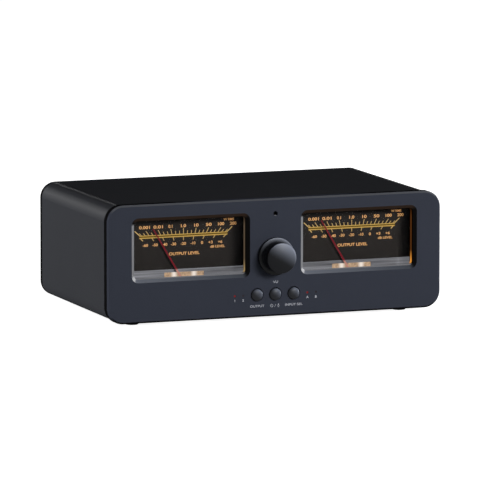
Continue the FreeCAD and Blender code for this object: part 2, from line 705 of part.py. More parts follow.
def potentiometer_nut():
    bore = BUSHING_R + FIT
    washer = pipe(WASHER_R, bore, 0, KNOB_Z, -WASHER_T, 0)
    nut_y = -WASHER_T - NUT_T
    nut = hex_rod(NUT_FLAT, 0, KNOB_Z, nut_y, -WASHER_T).cut(rod(bore, 0, KNOB_Z, nut_y, -WASHER_T))
    return group([washer, nut])


# Buttons, indicator lamps and microphone


def button(x):
    """A domed cap, a flange that stops behind the panel and a stem that ends in the switch."""
    front = -BUTTON_OUT
    shoulder = PANEL_T + BUTTON_LIFT
    well = BOARD_Y - SWITCH_T
    r = BUTTON_R
    profile = [(0, front), (r * 0.6, front + BUTTON_DOME * 0.3), (r, front + BUTTON_DOME * 1.6),
               (r, shoulder), (BUTTON_FLANGE_R, shoulder), (BUTTON_FLANGE_R, shoulder + BUTTON_FLANGE_T),
               (BUTTON_STEM_R, shoulder + BUTTON_FLANGE_T), (BUTTON_STEM_R, well + BUTTON_REACH),
               (0, well + BUTTON_REACH)]
    return turned(profile, x, BUTTON_Z)


def button_switch(x):
    well = BOARD_Y - SWITCH_T
    half = SWITCH_HALF
    body = box(x - half, x + half, well, BOARD_Y, BUTTON_Z - half, BUTTON_Z + half)
    return body.cut(rod(BUTTON_STEM_R + RUN, x, BUTTON_Z, well, well + SWITCH_WELL))


def light_pipe(x):
    return rod(PIPE_R, x, BUTTON_Z, 0.1, BOARD_Y - CHIP_T)


def indicator_lamp(x):
    half = CHIP_HALF
    return box(x - half, x + half, BOARD_Y - CHIP_T, BOARD_Y, BUTTON_Z - half, BUTTON_Z + half)


def microphone():
    y0 = PANEL_T - MIC_POCKET
    pins = [rod(MIC_PIN_R, x, MIC_Z, y0 + MIC_L, BOARD_Y) for x in (-MIC_PIN_X, MIC_PIN_X)]
    return join([rod(MIC_R, 0, MIC_Z, y0, y0 + MIC_L), *pins])


# Boards


def front_board():
    y0, y1 = BOARD_Y, BOARD_Y + BOARD_T
    base = box(-BOARD_HALF, BOARD_HALF, y0, y1, BOARD_Z0, BOARD_Z1)
    column = box(-COLUMN_HALF, COLUMN_HALF, y0, y1, BOARD_Z0, COLUMN_Z1)
    tongue = box(-TONGUE_HALF, TONGUE_HALF, y0, y1, BOARD_Z0, TONGUE_Z1)
    return join([base, column, tongue]).cut([rod(SMALL_R + RUN, x, z, y0, y1) for x, z in SPACER_AT])


def board_spacers():
    """Hex spacers with a stud into the panel and a tapped hole for the board's screw."""
    spacers = []
    for x, z in SPACER_AT:
        hexagon = hex_rod(SPACER_FLAT, x, z, PANEL_T, BOARD_Y)
        stud = rod(SMALL_R, x, z, PANEL_T - SMALL_BITE, PANEL_T)
        tapped = rod(SMALL_R + FIT, x, z, BOARD_Y - SMALL_BITE, BOARD_Y)
        spacers.append(hexagon.fuse(stud).cut(tapped))
    return group(spacers)


def small_screws():
    """The screws of the meters' ears and of the front board."""
    screws = []
    for x, z in [*ear_places(-1), *ear_places(1)]:
        shank = rod(SMALL_R, x, z, PANEL_T - SMALL_BITE, EAR_FACE)
        screws.append(shank.fuse(rod(SMALL_HEAD_R, x, z, EAR_FACE, EAR_FACE + SMALL_HEAD_H)))
    back = BOARD_Y + BOARD_T
    for x, z in SPACER_AT:
        shank = rod(SMALL_R, x, z, BOARD_Y - SMALL_BITE, back)
        screws.append(shank.fuse(rod(SMALL_HEAD_R, x, z, back, back + SMALL_HEAD_H)))
    return group(screws)


def main_board():
    half = INNER_HALF - MAIN_SIDE_GAP
    return box(-half, half, MAIN_Y0, SLEEVE_Y1 - MAIN_REAR_GAP, MAIN_Z, MAIN_TOP)


def relays():
    wide, deep, high = RELAY_SIZE
    return group([box(x - wide / 2, x + wide / 2, RELAY_Y, RELAY_Y + deep, MAIN_TOP, MAIN_TOP + high)
                  for x in RELAY_X])


def dc_jack():
    """The supply inlet: a moulded block on the board whose round nose fills the hole in the rear panel."""
    z = MAIN_TOP + JACK_H / 2
    block = box(JACK_X - JACK_HALF, JACK_X + JACK_HALF, SLEEVE_Y1 - JACK_L, SLEEVE_Y1,
                MAIN_TOP, MAIN_TOP + JACK_H)
    body = join([block, rod(JACK_NOSE_R, JACK_X, z, SLEEVE_Y1, BODY_D)])
    body = body.cut(rod(JACK_BORE_R, JACK_X, z, BODY_D - JACK_BORE_L, BODY_D))
    return body.fuse(rod(JACK_PIN_R, JACK_X, z, BODY_D - JACK_BORE_L, BODY_D - JACK_PIN_SHY))


# Binding posts


def post_stud(x, z):
    """A hollow stud with its fixing nut, which clamps the stud to the block's neck."""
    end = BODY_D + POST_OUT - STUD_RECESS
    stud = rod(STUD_R, x, z, SLEEVE_Y1, end)
    corner = POST_NUT_FLAT / math.cos(math.pi / 6)
    nut = flat_rod(6, corner, x, z, SLEEVE_Y1 - POST_NUT_T, SLEEVE_Y1, math.pi / 6)
    return join([stud, nut]).cut(rod(SOCKET_R, x, z, end - SOCKET_L, end))


def block_neck(x0, x1, z, play, y0, y1):
    """The part of a terminal block that goes through the rear panel, or the hole for it with play."""
    reach = BLOCK_MARGIN - BLOCK_NECK + play
    return box(x0 - reach, x1 + reach, y0, y1, z - reach, z + reach)


def terminal_block(x0, x1, z):
    """A moulded block for four posts: a flange outside, a neck through the panel and two snap lugs."""
    m = BLOCK_MARGIN
    flange = box(x0 - m, x1 + m, BODY_D, BODY_D + BLOCK_T, z - m, z + m)
    flange = flange.makeChamfer(BLOCK_CORNER, corners_along(flange))
    neck = block_neck(x0, x1, z, 0, SLEEVE_Y1, BODY_D)
    half = BLOCK_LUG_L / 2
    lugs = []
    for end in (x0 - m + BLOCK_NECK, x1 + m - BLOCK_NECK):
        lugs.append(box(end - BLOCK_LUG, end + BLOCK_LUG, SLEEVE_Y1 - BLOCK_LUG, SLEEVE_Y1,
                        z - half, z + half))
    posts = [x for x, row in POSTS if row == z and x0 <= x <= x1]
    bores = [rod(STUD_R + FIT, x, z, SLEEVE_Y1, BODY_D + BLOCK_T) for x in posts]
    return join([flange, neck, *lugs]).cut(bores)


def post_cap(x, z):
    """The cap that screws along the stud and clamps a wire against the block."""
    y0 = BODY_D + BLOCK_T + CAP_LIFT
    y1 = BODY_D + POST_OUT
    return flat_rod(CAP_FLATS, CAP_R, x, z, y0, y1).cut(rod(STUD_R + RUN, x, z, y0, y1))


def cap_names():
    """Names by place, in the order of POSTS: speakers below and amplifiers above, red beside black."""
    names = []
    for row in ("speaker", "amplifier"):
        for unit in ("1", "2") if row == "amplifier" else ("a", "b"):
            for channel in ("left", "right"):
                for colour in ("black", "red"):
                    names.append(f"{row}_{unit}_{channel}_{colour}_cap")
    return names


def main():
    os.makedirs("parts", exist_ok=True)
    meters = {"left": -1, "right": 1}
    centres = [side * METER_X for side in meters.values()]

    save("front_panel", front_panel())
    save("case_sleeve", case_sleeve())
    save("rear_panel", rear_panel())
    save("tie_screws", tie_screws())
    save("feet", feet())

    for name, side in meters.items():
        x = side * METER_X
        save(f"{name}_meter_cover", meter_cover(x))
        save(f"{name}_meter_case", meter_case(side))
        save(f"{name}_dial_plate", dial_plate(x))
        save(f"{name}_needle", needle(x))
        save(f"{name}_coil", coil(x))
    save("sill_strips", group([sill_strip(x) for x in centres]))
    save("lamp_diffusers", group([lamp_diffuser(x) for x in centres]))
    save("lamp_boards", group([piece for x in centres for piece in (lamp_board(x), *meter_lamps(x))]))
    save("magnet_yokes", group([magnet_yoke(x) for x in centres]))
    save("core_magnets", group([core_magnet(x) for x in centres]))
    save("movement_frames", group([movement_frame(x) for x in centres]))
    save("jewel_screws", group([screw for x in centres for screw in jewel_screws(x)]))
    save("hairsprings", group([hairspring(x, y) for x in centres for y in SPRING_Y]))

    save("knob", knob())
    save("knob_set_screw", knob_set_screw())
    save("knob_shaft", knob_shaft())
    save("potentiometer", potentiometer())
    save("potentiometer_nut", potentiometer_nut())

    for name, x in zip(("left", "middle", "right"), BUTTON_X):
        save(f"{name}_button", button(x))
    save("button_switches", group([button_switch(x) for x in BUTTON_X]))
    save("light_pipes", group([light_pipe(x) for x in LAMP_HOLE_X]))
    save("indicator_lamps", group([indicator_lamp(x) for x in LAMP_HOLE_X]))
    save("microphone", microphone())

    save("front_board", front_board())
    save("board_spacers", board_spacers())
    save("small_screws", small_screws())
    save("main_board", main_board())
    save("relays", relays())
    save("dc_jack", dc_jack())

    save("post_studs", group([post_stud(x, z) for x, z in POSTS]))
    save("terminal_blocks", group([terminal_block(*block) for block in BLOCKS]))
    for name, (x, z) in zip(cap_names(), POSTS):
        save(name, post_cap(x, z))


main()
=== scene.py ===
# %% [markdown]
# # A stereo level meter in a grey metal box
# This lesson dresses a finished CAD model for a product picture. The model gives every piece its
# true size and place. Blender adds what a drawing can't hold: paint, brushed metal, ink, glowing
# lamps and soft light. Nothing here moves a CAD piece. Each new piece, such as the printed scale,
# rides on the body that carries it.

# %% Load the model
import json
import math

import bmesh
import bpy
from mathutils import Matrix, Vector


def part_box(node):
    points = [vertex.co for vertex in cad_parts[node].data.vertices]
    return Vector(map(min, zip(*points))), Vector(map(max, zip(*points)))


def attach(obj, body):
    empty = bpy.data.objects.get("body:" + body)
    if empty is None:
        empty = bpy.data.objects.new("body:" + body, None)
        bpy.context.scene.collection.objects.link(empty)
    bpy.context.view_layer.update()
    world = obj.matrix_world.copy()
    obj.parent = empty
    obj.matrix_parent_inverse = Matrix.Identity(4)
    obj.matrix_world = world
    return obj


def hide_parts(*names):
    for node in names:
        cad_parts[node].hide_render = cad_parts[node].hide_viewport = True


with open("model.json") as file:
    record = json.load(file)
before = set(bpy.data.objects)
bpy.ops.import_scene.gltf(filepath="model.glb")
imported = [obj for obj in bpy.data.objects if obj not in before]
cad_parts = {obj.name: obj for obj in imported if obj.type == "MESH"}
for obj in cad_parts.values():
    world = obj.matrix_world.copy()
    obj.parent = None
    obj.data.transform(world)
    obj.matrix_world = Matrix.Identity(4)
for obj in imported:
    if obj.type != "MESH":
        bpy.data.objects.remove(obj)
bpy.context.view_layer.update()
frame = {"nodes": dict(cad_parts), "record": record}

nodes = frame["nodes"]

# %% [markdown]
# ## Measures
# The designer drew the front in panel coordinates: X to the right, depth backwards from the
# panel's face and Z up from the panel's bottom edge, all in millimetres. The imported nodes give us
# that corner back, so the ink and the lamps are placed with the same numbers as the windows.

# %% Panel coordinates
MM = 0.001
PANEL_LOW, PANEL_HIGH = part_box("front_panel")
DIAL_LOW, DIAL_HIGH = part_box("right_dial_plate")
METER_X = (DIAL_LOW.x + DIAL_HIGH.x) / 2 / MM
DIAL_DEPTH = (DIAL_LOW.y - PANEL_LOW.y) / MM
PIVOT_Z = 19.4


def row(x, depth, z):
    """A point in the row frame, in metres, from panel coordinates in millimetres."""
    return Vector((x * MM, PANEL_LOW.y + depth * MM, PANEL_LOW.z + z * MM))


def depths(low, high):
    """How deep the front and the back of a node's box are, in millimetres."""
    return (low.y - PANEL_LOW.y) / MM, (high.y - PANEL_LOW.y) / MM


print("panel width", round((PANEL_HIGH.x - PANEL_LOW.x) / MM, 2), "meter at", round(METER_X, 2),
      "dial depth", round(DIAL_DEPTH, 2))

# %% [markdown]
# ## Camera
# The picture was taken from far away with a long lens, so the box shows almost no perspective.
# The camera stands 3.5 m away, a little to the left and a little above, and looks at the middle
# of the unit. The same two helpers put the pieces and the lamps into the scene later.

# %% Camera
CAMERA_AT = (-1.2327, -3.28875, 0.526)
LOOK_AT = (0.001227, -0.00185, 0.0376)
LENS_MM, SENSOR_MM, FARTHEST = 466.4, 36.0, 50.0


def new_object(name, data):
    """An object that holds the data and is in the scene."""
    made = bpy.data.objects.new(name, data)
    bpy.context.scene.collection.objects.link(made)
    return made


def point_at(piece, at, target):
    """Puts a camera or a lamp at a place and turns it to look at another."""
    piece.location = at
    way = Vector(target) - Vector(at)
    piece.rotation_euler = way.to_track_quat("-Z", "Y").to_euler()
    return way.length


camera_data = bpy.data.cameras.new("camera")
camera_data.lens = LENS_MM
camera_data.sensor_width = SENSOR_MM
camera_data.clip_end = FARTHEST
camera = new_object("camera", camera_data)
distance = point_at(camera, CAMERA_AT, LOOK_AT)
bpy.context.scene.camera = camera
bpy.context.scene.view_settings.view_transform = "Standard"
print("camera distance", round(distance, 3), "m")

# %% [markdown]
# ## Node helpers
# A material is a small graph. These helpers add a node, set its sockets by name and link its
# inputs, so that a recipe reads as one line per node. A value that is a socket gets a link, and
# any other value is simply set.

# %% Node helpers
WHITE, BLACK = (1.0, 1.0, 1.0, 1.0), (0.0, 0.0, 0.0, 1.0)


def wire(tree, node, **inputs):
    """Fills a node's sockets, by name with _ for a space, or by an s and a position."""
    for key, value in inputs.items():
        by_position = key[0] == "s" and key[1:].isdigit()
        socket = node.inputs[int(key[1:]) if by_position else key.replace("_", " ")]
        if isinstance(value, bpy.types.NodeSocket):
            tree.links.new(value, socket)
        else:
            socket.default_value = value


def add(tree, kind, settings=None, **inputs):
    """Adds a node, with its settings, and fills its sockets."""
    made = tree.nodes.new(kind)
    for key, value in (settings or {}).items():
        setattr(made, key, value)
    wire(tree, made, **inputs)
    return made


def math_node(tree, operation, first, second=0.0, clamp=False):
    settings = {"operation": operation, "use_clamp": clamp}
    return add(tree, "ShaderNodeMath", settings, s0=first, s1=second).outputs[0]


def product(tree, *masks):
    """The masks multiplied, which is bright only where all of them are."""
    total = masks[0]
    for mask in masks[1:]:
        total = math_node(tree, "MULTIPLY", total, mask)
    return total


def size_of(tree, value):
    """A value without its sign."""
    return math_node(tree, "ABSOLUTE", value)


print("graph helpers ready in Blender", bpy.app.version_string)

# %% [markdown]
# ## Helpers for colours, places and noise
# The next ones mix colours, reshape a mask and read a surface's place and normal. Noise takes its
# size in millimetres, because that is how the grain of a real surface is measured.

# %% Colour, place and noise helpers
def vector_math(tree, operation, first, **inputs):
    return add(tree, "ShaderNodeVectorMath", {"operation": operation}, s0=first, **inputs).outputs


def scaled(tree, vector, factor):
    """A colour or a place times a number or a mask."""
    return vector_math(tree, "SCALE", vector, Scale=factor)[0]


def blend(tree, amount, first, second):
    """Mixes two colours; amount may be a mask."""
    settings = {"data_type": "RGBA", "blend_type": "MIX"}
    return add(tree, "ShaderNodeMix", settings, s0=amount, s6=first, s7=second).outputs[2]


def ramp(tree, value, low, high, out_low=0.0, out_high=1.0):
    """Turns the values from low to high into values from out_low to out_high."""
    made = add(tree, "ShaderNodeMapRange", {"clamp": True}, Value=value, From_Min=low,
               From_Max=high, To_Min=out_low, To_Max=out_high)
    return made.outputs[0]


def object_place(tree):
    return add(tree, "ShaderNodeTexCoord").outputs["Object"]


def normal_of(tree):
    return add(tree, "ShaderNodeNewGeometry").outputs["Normal"]


def split(tree, vector):
    """The X, Y and Z of a vector."""
    return add(tree, "ShaderNodeSeparateXYZ", Vector=vector).outputs


def noise(tree, place, size_mm, detail, rough):
    """Noise whose features are about size_mm across."""
    scale = math_node(tree, "DIVIDE", 1 / MM, size_mm)
    return add(tree, "ShaderNodeTexNoise", Vector=place, Scale=scale, Detail=detail,
               Roughness=rough).outputs[0]


def srgb(*levels):
    """A linear colour from the 0 to 255 levels that a picture shows."""
    linear = []
    for level in levels:
        c = level / 255
        linear.append(c / 12.92 if c <= 0.04045 else ((c + 0.055) / 1.055) ** 2.4)
    return (*linear, 1.0)


print("mid grey 128 is", round(srgb(128)[0], 3), "in linear light")

# %% [markdown]
# ## Groups
# An effect that several materials share is built once, as a node group with named inputs and
# outputs. Each material then places the group with its own numbers.

# %% Group helpers
FLOAT, COLOUR, VECTOR = "NodeSocketFloat", "NodeSocketColor", "NodeSocketVector"


def new_group(name, inputs, outputs):
    """An empty group with named sockets: its tree, what comes in, and the node that goes out."""
    group = bpy.data.node_groups.new(name, "ShaderNodeTree")
    for label, kind, start in inputs:
        socket = group.interface.new_socket(label, in_out="INPUT", socket_type=kind)
        if start is not None:
            socket.default_value = start
    for label, kind in outputs:
        group.interface.new_socket(label, in_out="OUTPUT", socket_type=kind)
    inside = group.nodes.new("NodeGroupInput").outputs
    return group, inside, group.nodes.new("NodeGroupOutput")


def use(tree, group, **inputs):
    """Places a group in a material and returns its outputs."""
    return add(tree, "ShaderNodeGroup", {"node_tree": group}, **inputs).outputs


print("group socket kinds:", FLOAT, COLOUR, VECTOR)

# %% [markdown]
# ## Shared effect: fine grain
# Powder coat, moulded plastic and blasted aluminium all have a fine random texture. One group
# gives it: a tight noise for the bumps and a slower noise for the patches that make a large face
# look less perfect. Noise is better than a picture here, because it has no seams and works at any
# distance.

# %% Group: grain
FINE_SHARE = 0.4
GRAIN, inside, out = new_group(
    "grain",
    [("Size mm", FLOAT, 0.3), ("Patch mm", FLOAT, 12.0), ("Colour", COLOUR, None),
     ("Spread", FLOAT, 0.1)],
    [("Colour", COLOUR), ("Height", FLOAT), ("Patch", FLOAT)])
place = object_place(GRAIN)
fine = noise(GRAIN, place, inside["Size mm"], 2.0, 0.6)
patch = noise(GRAIN, place, inside["Patch mm"], 3.0, 0.55)
both = math_node(GRAIN, "ADD", product(GRAIN, fine, FINE_SHARE),
                 product(GRAIN, patch, 1 - FINE_SHARE))
gain = product(GRAIN, math_node(GRAIN, "SUBTRACT", both, 0.5), inside["Spread"])
level = math_node(GRAIN, "ADD", product(GRAIN, gain, 2.0), 1.0)
wire(GRAIN, out, Colour=scaled(GRAIN, inside["Colour"], level), Height=fine, Patch=patch)
print("group", GRAIN.name, "nodes", len(GRAIN.nodes))

# %% [markdown]
# ## Shared effect: brushed lines
# A brushed or turned face has thousands of fine scratches that all run one way. Noise that is
# stretched along the scratches gives them. The group takes the stretch and how wide a scratch is,
# and puts out a height and a mask.

# %% Group: brushed
BRUSHED, inside, out = new_group(
    "brushed", [("Across", VECTOR, (1.0, 1.0, 1.0)), ("Width mm", FLOAT, 0.2)],
    [("Height", FLOAT), ("Mask", FLOAT)])
squeezed = vector_math(BRUSHED, "MULTIPLY", object_place(BRUSHED), s1=inside["Across"])[0]
lines = noise(BRUSHED, squeezed, inside["Width mm"], 3.0, 0.65)
wire(BRUSHED, out, Height=lines, Mask=ramp(BRUSHED, lines, 0.32, 0.68))
print("group", BRUSHED.name, "nodes", len(BRUSHED.nodes))

# %% [markdown]
# ## Shared effect: dust on upward faces
# Dust settles on what faces up. The normal's Z says how much a face does so, and noise breaks the
# film up. It is kept very thin, because the unit in the picture is new.

# %% Group: dust
DUST, inside, out = new_group(
    "dust", [("Amount", FLOAT, 0.1), ("Patch mm", FLOAT, 8.0)], [("Mask", FLOAT)])
up = ramp(DUST, split(DUST, normal_of(DUST))[2], 0.3, 1.0)
cloud = noise(DUST, object_place(DUST), inside["Patch mm"], 5.0, 0.7)
wire(DUST, out, Mask=product(DUST, ramp(DUST, cloud, 0.4, 0.75), up, inside["Amount"]))
print("group", DUST.name, "nodes", len(DUST.nodes))

# %% [markdown]
# ## Shared effect: softened edges
# Real edges are never razor sharp, and a thin line of worn paint or polished metal runs along
# them. The Bevel node rounds the normal near an edge. Where that rounded normal leaves the true
# one, the mask is bright.

# %% Group: edges
EDGES, inside, out = new_group(
    "edges", [("Radius mm", FLOAT, 0.3)], [("Normal", VECTOR), ("Mask", FLOAT)])
radius = product(EDGES, inside["Radius mm"], MM)
rounded = add(EDGES, "ShaderNodeBevel", {"samples": 6}, Radius=radius).outputs[0]
same = vector_math(EDGES, "DOT_PRODUCT", rounded, s1=normal_of(EDGES))["Value"]
wire(EDGES, out, Normal=rounded, Mask=ramp(EDGES, same, 0.995, 0.8))
print("group", EDGES.name, "nodes", len(EDGES.nodes))

# %% [markdown]
# ## Shared values: which way and where
# Some colours here differ from one side of a piece to another: the panel's bevels and chamfers, the
# knob and the buttons get painted light and shade by the way they face. This group gives the three
# parts of the surface's normal and its place in millimetres, and each finish makes its own masks
# from them. The values belong to the object, so they stay in place in every view.

# %% Group: facing
FACING, inside, out = new_group(
    "facing", [], [(name, FLOAT) for name in ("Nx", "Ny", "Nz", "X mm", "Y mm", "Z mm")])
leans = split(FACING, normal_of(FACING))
places = split(FACING, scaled(FACING, object_place(FACING), 1 / MM))
for number, axis in enumerate("XYZ"):
    wire(FACING, out, **{f"N{axis.lower()}": leans[number], f"{axis}_mm": places[number]})
print("group", FACING.name, "nodes", len(FACING.nodes))

# %% [markdown]
# ## One recipe for painted, moulded and metal surfaces
# Most finishes here differ only in their numbers: colour, how rough, how fine the grain, how worn
# the edges. So one function builds the graph from those numbers, and each finish below is a short
# call that names them. Small helpers open a finished material again and paint over it.

# %% Material helpers
def new_material(name):
    """A material with one Principled shader: the material, its graph and the shader."""
    made = bpy.data.materials.new(name)
    made.use_nodes = True
    tree = made.node_tree
    tree.nodes.clear()
    shader = tree.nodes.new("ShaderNodeBsdfPrincipled")
    output = tree.nodes.new("ShaderNodeOutputMaterial")
    tree.links.new(shader.outputs[0], output.inputs[0])
    return made, tree, shader


def opened(material):
    """A finished material's graph and its shader."""
    tree = material.node_tree
    return tree, next(node for node in tree.nodes if node.type == "BSDF_PRINCIPLED")


def base_of(shader):
    """What feeds the shader's base colour now."""
    return shader.inputs["Base Color"].links[0].from_socket


def paint_over(tree, shader, mask, colour):
    """Lays another colour over the base colour, where the mask is bright."""
    wire(tree, shader, Base_Color=blend(tree, mask, base_of(shader), colour))


print("materials that came with the model:", len(bpy.data.materials))

# %% Surface recipe
DUST_COLOUR = (0.35, 0.34, 0.32, 1.0)
finishes = {}


def finish(name, colour, rough, size=0.3, patch=12.0, spread=0.1, bump=0.01, edge=0.2, worn=None,
           wear=0.3, metal=0.0, level=0.2, dust=0.0, brush=None, brush_mm=0.2, streak=0.2):
    """A procedural surface. Colours are linear, and sizes and depths are in millimetres."""
    made, tree, shader = new_material(name)
    grain = use(tree, GRAIN, Size_mm=size, Patch_mm=patch, Colour=colour, Spread=spread)
    edges = use(tree, EDGES, Radius_mm=edge)
    worn = worn or tuple(min(1.0, c * 1.6 + 0.01) for c in colour[:3]) + (1.0,)
    broken = product(tree, edges["Mask"], ramp(tree, grain["Patch"], 0.35, 0.65, 0.2, 1.0))
    base = blend(tree, product(tree, broken, wear), grain["Colour"], worn)
    if brush:
        lines = use(tree, BRUSHED, Across=brush, Width_mm=brush_mm)
        height = lines["Height"]
        base = scaled(tree, base, ramp(tree, lines["Mask"], 0.0, 1.0, 1 - streak, 1 + streak))
        matt = ramp(tree, lines["Mask"], 0.0, 1.0, rough - 0.08, rough + 0.08)
    else:
        height = grain["Height"]
        matt = ramp(tree, grain["Patch"], 0.3, 0.7, rough - 0.05, rough + 0.05)
    if dust:
        film = use(tree, DUST, Amount=dust)["Mask"]
        base = blend(tree, film, base, DUST_COLOUR)
        matt = math_node(tree, "ADD", matt, film, clamp=True)
    bumped = add(tree, "ShaderNodeBump", Strength=0.6, Distance=bump * MM, Height=height,
                 Normal=edges["Normal"]).outputs[0]
    wire(tree, shader, Base_Color=base, Roughness=matt, Normal=bumped, Metallic=metal,
         Specular_IOR_Level=level)
    return made


print("dust colour", DUST_COLOUR[:3])

# %% [markdown]
# ## The front panel's masks
# The plate is thick aluminium with a fine satin coat, and its windows are bevelled. The bevels and
# walls get painted light and shade, so the material has to know them: a normal that points straight
# forward is the face, one that leans is a bevel, and one that points sideways is a wall. The place
# says whether that is in a window or on the plate's outside.

# %% Places on the panel
FACE_Y, BOTTOM_Z = row(0, 0, 0).y / MM, row(0, 0, 0).z / MM


def by_meter(tree, facing):
    """Millimetres right of the nearer meter's middle, and which meter: 0 left, 1 right."""
    which = ramp(tree, facing["X mm"], -1.0, 1.0)
    middle = product(tree, math_node(tree, "SUBTRACT", which, 0.5), 2 * METER_X)
    return math_node(tree, "SUBTRACT", facing["X mm"], middle), which


def depth_of(tree, facing):
    return math_node(tree, "SUBTRACT", facing["Y mm"], FACE_Y)


def height_of(tree, facing):
    return math_node(tree, "SUBTRACT", facing["Z mm"], BOTTOM_Z)


print("panel face at", round(FACE_Y, 2), "and bottom at", round(BOTTOM_Z, 2), "mm")

# %% Front panel masks
WINDOW_MIDDLE, WINDOW_HALF_X, WINDOW_HALF_Z, MARGIN = 41.0, 35.3, 18.4, 0.2
finishes["panel"] = finish("panel_coat", srgb(50, 53, 62), 0.5, size=0.25, patch=20.0,
                           spread=0.06, wear=0.25, level=0.0, dust=0.004)
tree, shader = opened(finishes["panel"])
facing = use(tree, FACING)
forward = size_of(tree, facing["Ny"])  # 1 on the face, 0.7 on a bevel, 0 on a wall
square = ramp(tree, forward, 0.45, 0.25)
slanted = math_node(tree, "SUBTRACT", ramp(tree, forward, 0.97, 0.9), square, clamp=True)
beside, right_meter = by_meter(tree, facing)
from_middle = size_of(tree, facing["X mm"])
height, depth = height_of(tree, facing), depth_of(tree, facing)
off_height = size_of(tree, math_node(tree, "SUBTRACT", height, WINDOW_MIDDLE))
window = product(tree,
                 ramp(tree, size_of(tree, beside), WINDOW_HALF_X + MARGIN, WINDOW_HALF_X),
                 ramp(tree, off_height, WINDOW_HALF_Z + MARGIN, WINDOW_HALF_Z))
outside = math_node(tree, "SUBTRACT", 1.0, window)
bevel, chamfer = product(tree, window, slanted), product(tree, outside, slanted)
wall = product(tree, window, square)
print("panel mask nodes", len(tree.nodes))

# %% [markdown]
# ## The front panel's colours
# The bevels, the walls inside the windows, the plate's outer edge and its bottom chamfer get a
# near-black painted shade. The bevel sides that lean up or to the right get a painted highlight,
# which is brightest in the lower left corner. The plate's top chamfer, the sill and the ledge under
# the cover also get painted highlights, and the sill's painted light is lighter at the left of each
# window. Each colour is laid over the last where its mask is bright, so the order matters.

# %% Front panel colours
# Painted highlight colours: the bevels that lean towards the light, the lower left corners and the
# ledge.
LEFT_BEVEL_HIGHLIGHT = (0.165, 0.168, 0.178, 1.0)
CORNER_HIGHLIGHT = (0.42, 0.425, 0.44, 1.0)
LEDGE_HIGHLIGHT = (0.2, 0.202, 0.21, 1.0)
# In a window, this lean says how far a bevel leans up or to the right, towards the painted light.
# It is most in the lower left.
lean_to_light = math_node(tree, "ADD", product(tree, facing["Nx"], window, 1.4), facing["Nz"])
left_bevel_highlight = product(tree, ramp(tree, lean_to_light, 0.7, 0.92), slanted, window)
corner_highlight = product(tree, ramp(tree, lean_to_light, 0.98, 1.1), slanted, window)
lit_sill = product(tree, bevel, ramp(tree, facing["Nz"], 0.4, 0.6), ramp(tree, beside, 34.2, 31.0))
lit_sill_colour = blend(tree, ramp(tree, beside, -33.0, 33.0), srgb(100, 104, 113), srgb(64, 68, 75))
lit_ledge = product(tree, wall, ramp(tree, facing["Nz"], 0.5, 0.9))
shaded_outer_edge = product(tree, outside, square, ramp(tree, from_middle, 40.0, 60.0))
shaded_bottom_chamfer = product(tree, chamfer, ramp(tree, facing["Nz"], -0.4, -0.6))
lit_top_chamfer = product(tree, chamfer, ramp(tree, facing["Nz"], 0.4, 0.6))
# Painted shade, near black, on the bevels, the window walls, the outer edge and the bottom chamfer;
# painted highlights on the top chamfer, the left bevels, the sill, the lower left corners and the
# ledge.
for mask, colour in ((bevel, srgb(19, 18, 18)), (wall, srgb(12, 12, 12)),
                     (shaded_outer_edge, srgb(11, 11, 12)), (shaded_bottom_chamfer, srgb(12, 12, 13)),
                     (lit_top_chamfer, srgb(76, 78, 83)), (left_bevel_highlight, LEFT_BEVEL_HIGHLIGHT),
                     (lit_sill, lit_sill_colour), (corner_highlight, CORNER_HIGHLIGHT), (lit_ledge, LEDGE_HIGHLIGHT)):
    paint_over(tree, shader, mask, colour)
print("panel colour nodes", len(tree.nodes))

# %% [markdown]
# ## Lamp light on the window's walls
# The meters' warm lamps light the window's right wall and its top bevel. So little light would
# take a noisy lamp of its own, so the paint glows there instead: a mask picks the wall, and a
# height ramp makes it strongest low down, next to the lamps. The right meter's lamps are a deeper
# orange than the left one's. The ledge under the cover and the walls of the button holes get a
# little plain light in the same way.

# %% Glow on the walls
low_down = ramp(tree, height, 33.0, 27.0)
left_glow = blend(tree, low_down, srgb(84, 71, 57), srgb(150, 125, 84))
right_glow = blend(tree, low_down, srgb(76, 43, 16), srgb(226, 146, 54))
on_wall = product(tree, wall, ramp(tree, facing["Nx"], -0.5, -0.9),
                  ramp(tree, height, 58.0, 52.0), ramp(tree, depth, 2.9, 3.3))
on_top = product(tree, bevel, ramp(tree, facing["Nz"], -0.3, -0.6))
in_hole = product(tree, outside, square, ramp(tree, from_middle, 16.5, 16.0),
                  ramp(tree, height, 17.5, 17.0), ramp(tree, height, 7.5, 8.0),
                  ramp(tree, depth, 2.0, 1.0))
glow = BLACK
for mask, colour in ((on_wall, blend(tree, right_meter, left_glow, right_glow)),
                     (on_top, srgb(36, 25, 17)), (lit_ledge, srgb(84, 85, 89)),
                     (in_hole, srgb(38, 40, 47))):
    glow = blend(tree, mask, glow, colour)
wire(tree, shader, Emission_Color=glow, Emission_Strength=1.0)
print("panel nodes", len(tree.nodes))

# %% [markdown]
# ## The sleeve and other dark pieces
# The sleeve is one extruded tube with a dead matt coat, so it has no gloss of its own. Handling
# has rubbed its long rounded shoulders a little shiny, and a coat layer shows that: its weight is
# a soft band where the surface turns from the side to the top, and a thin line just before the
# top. The feet are rubber, and inner mouldings are black plastic.

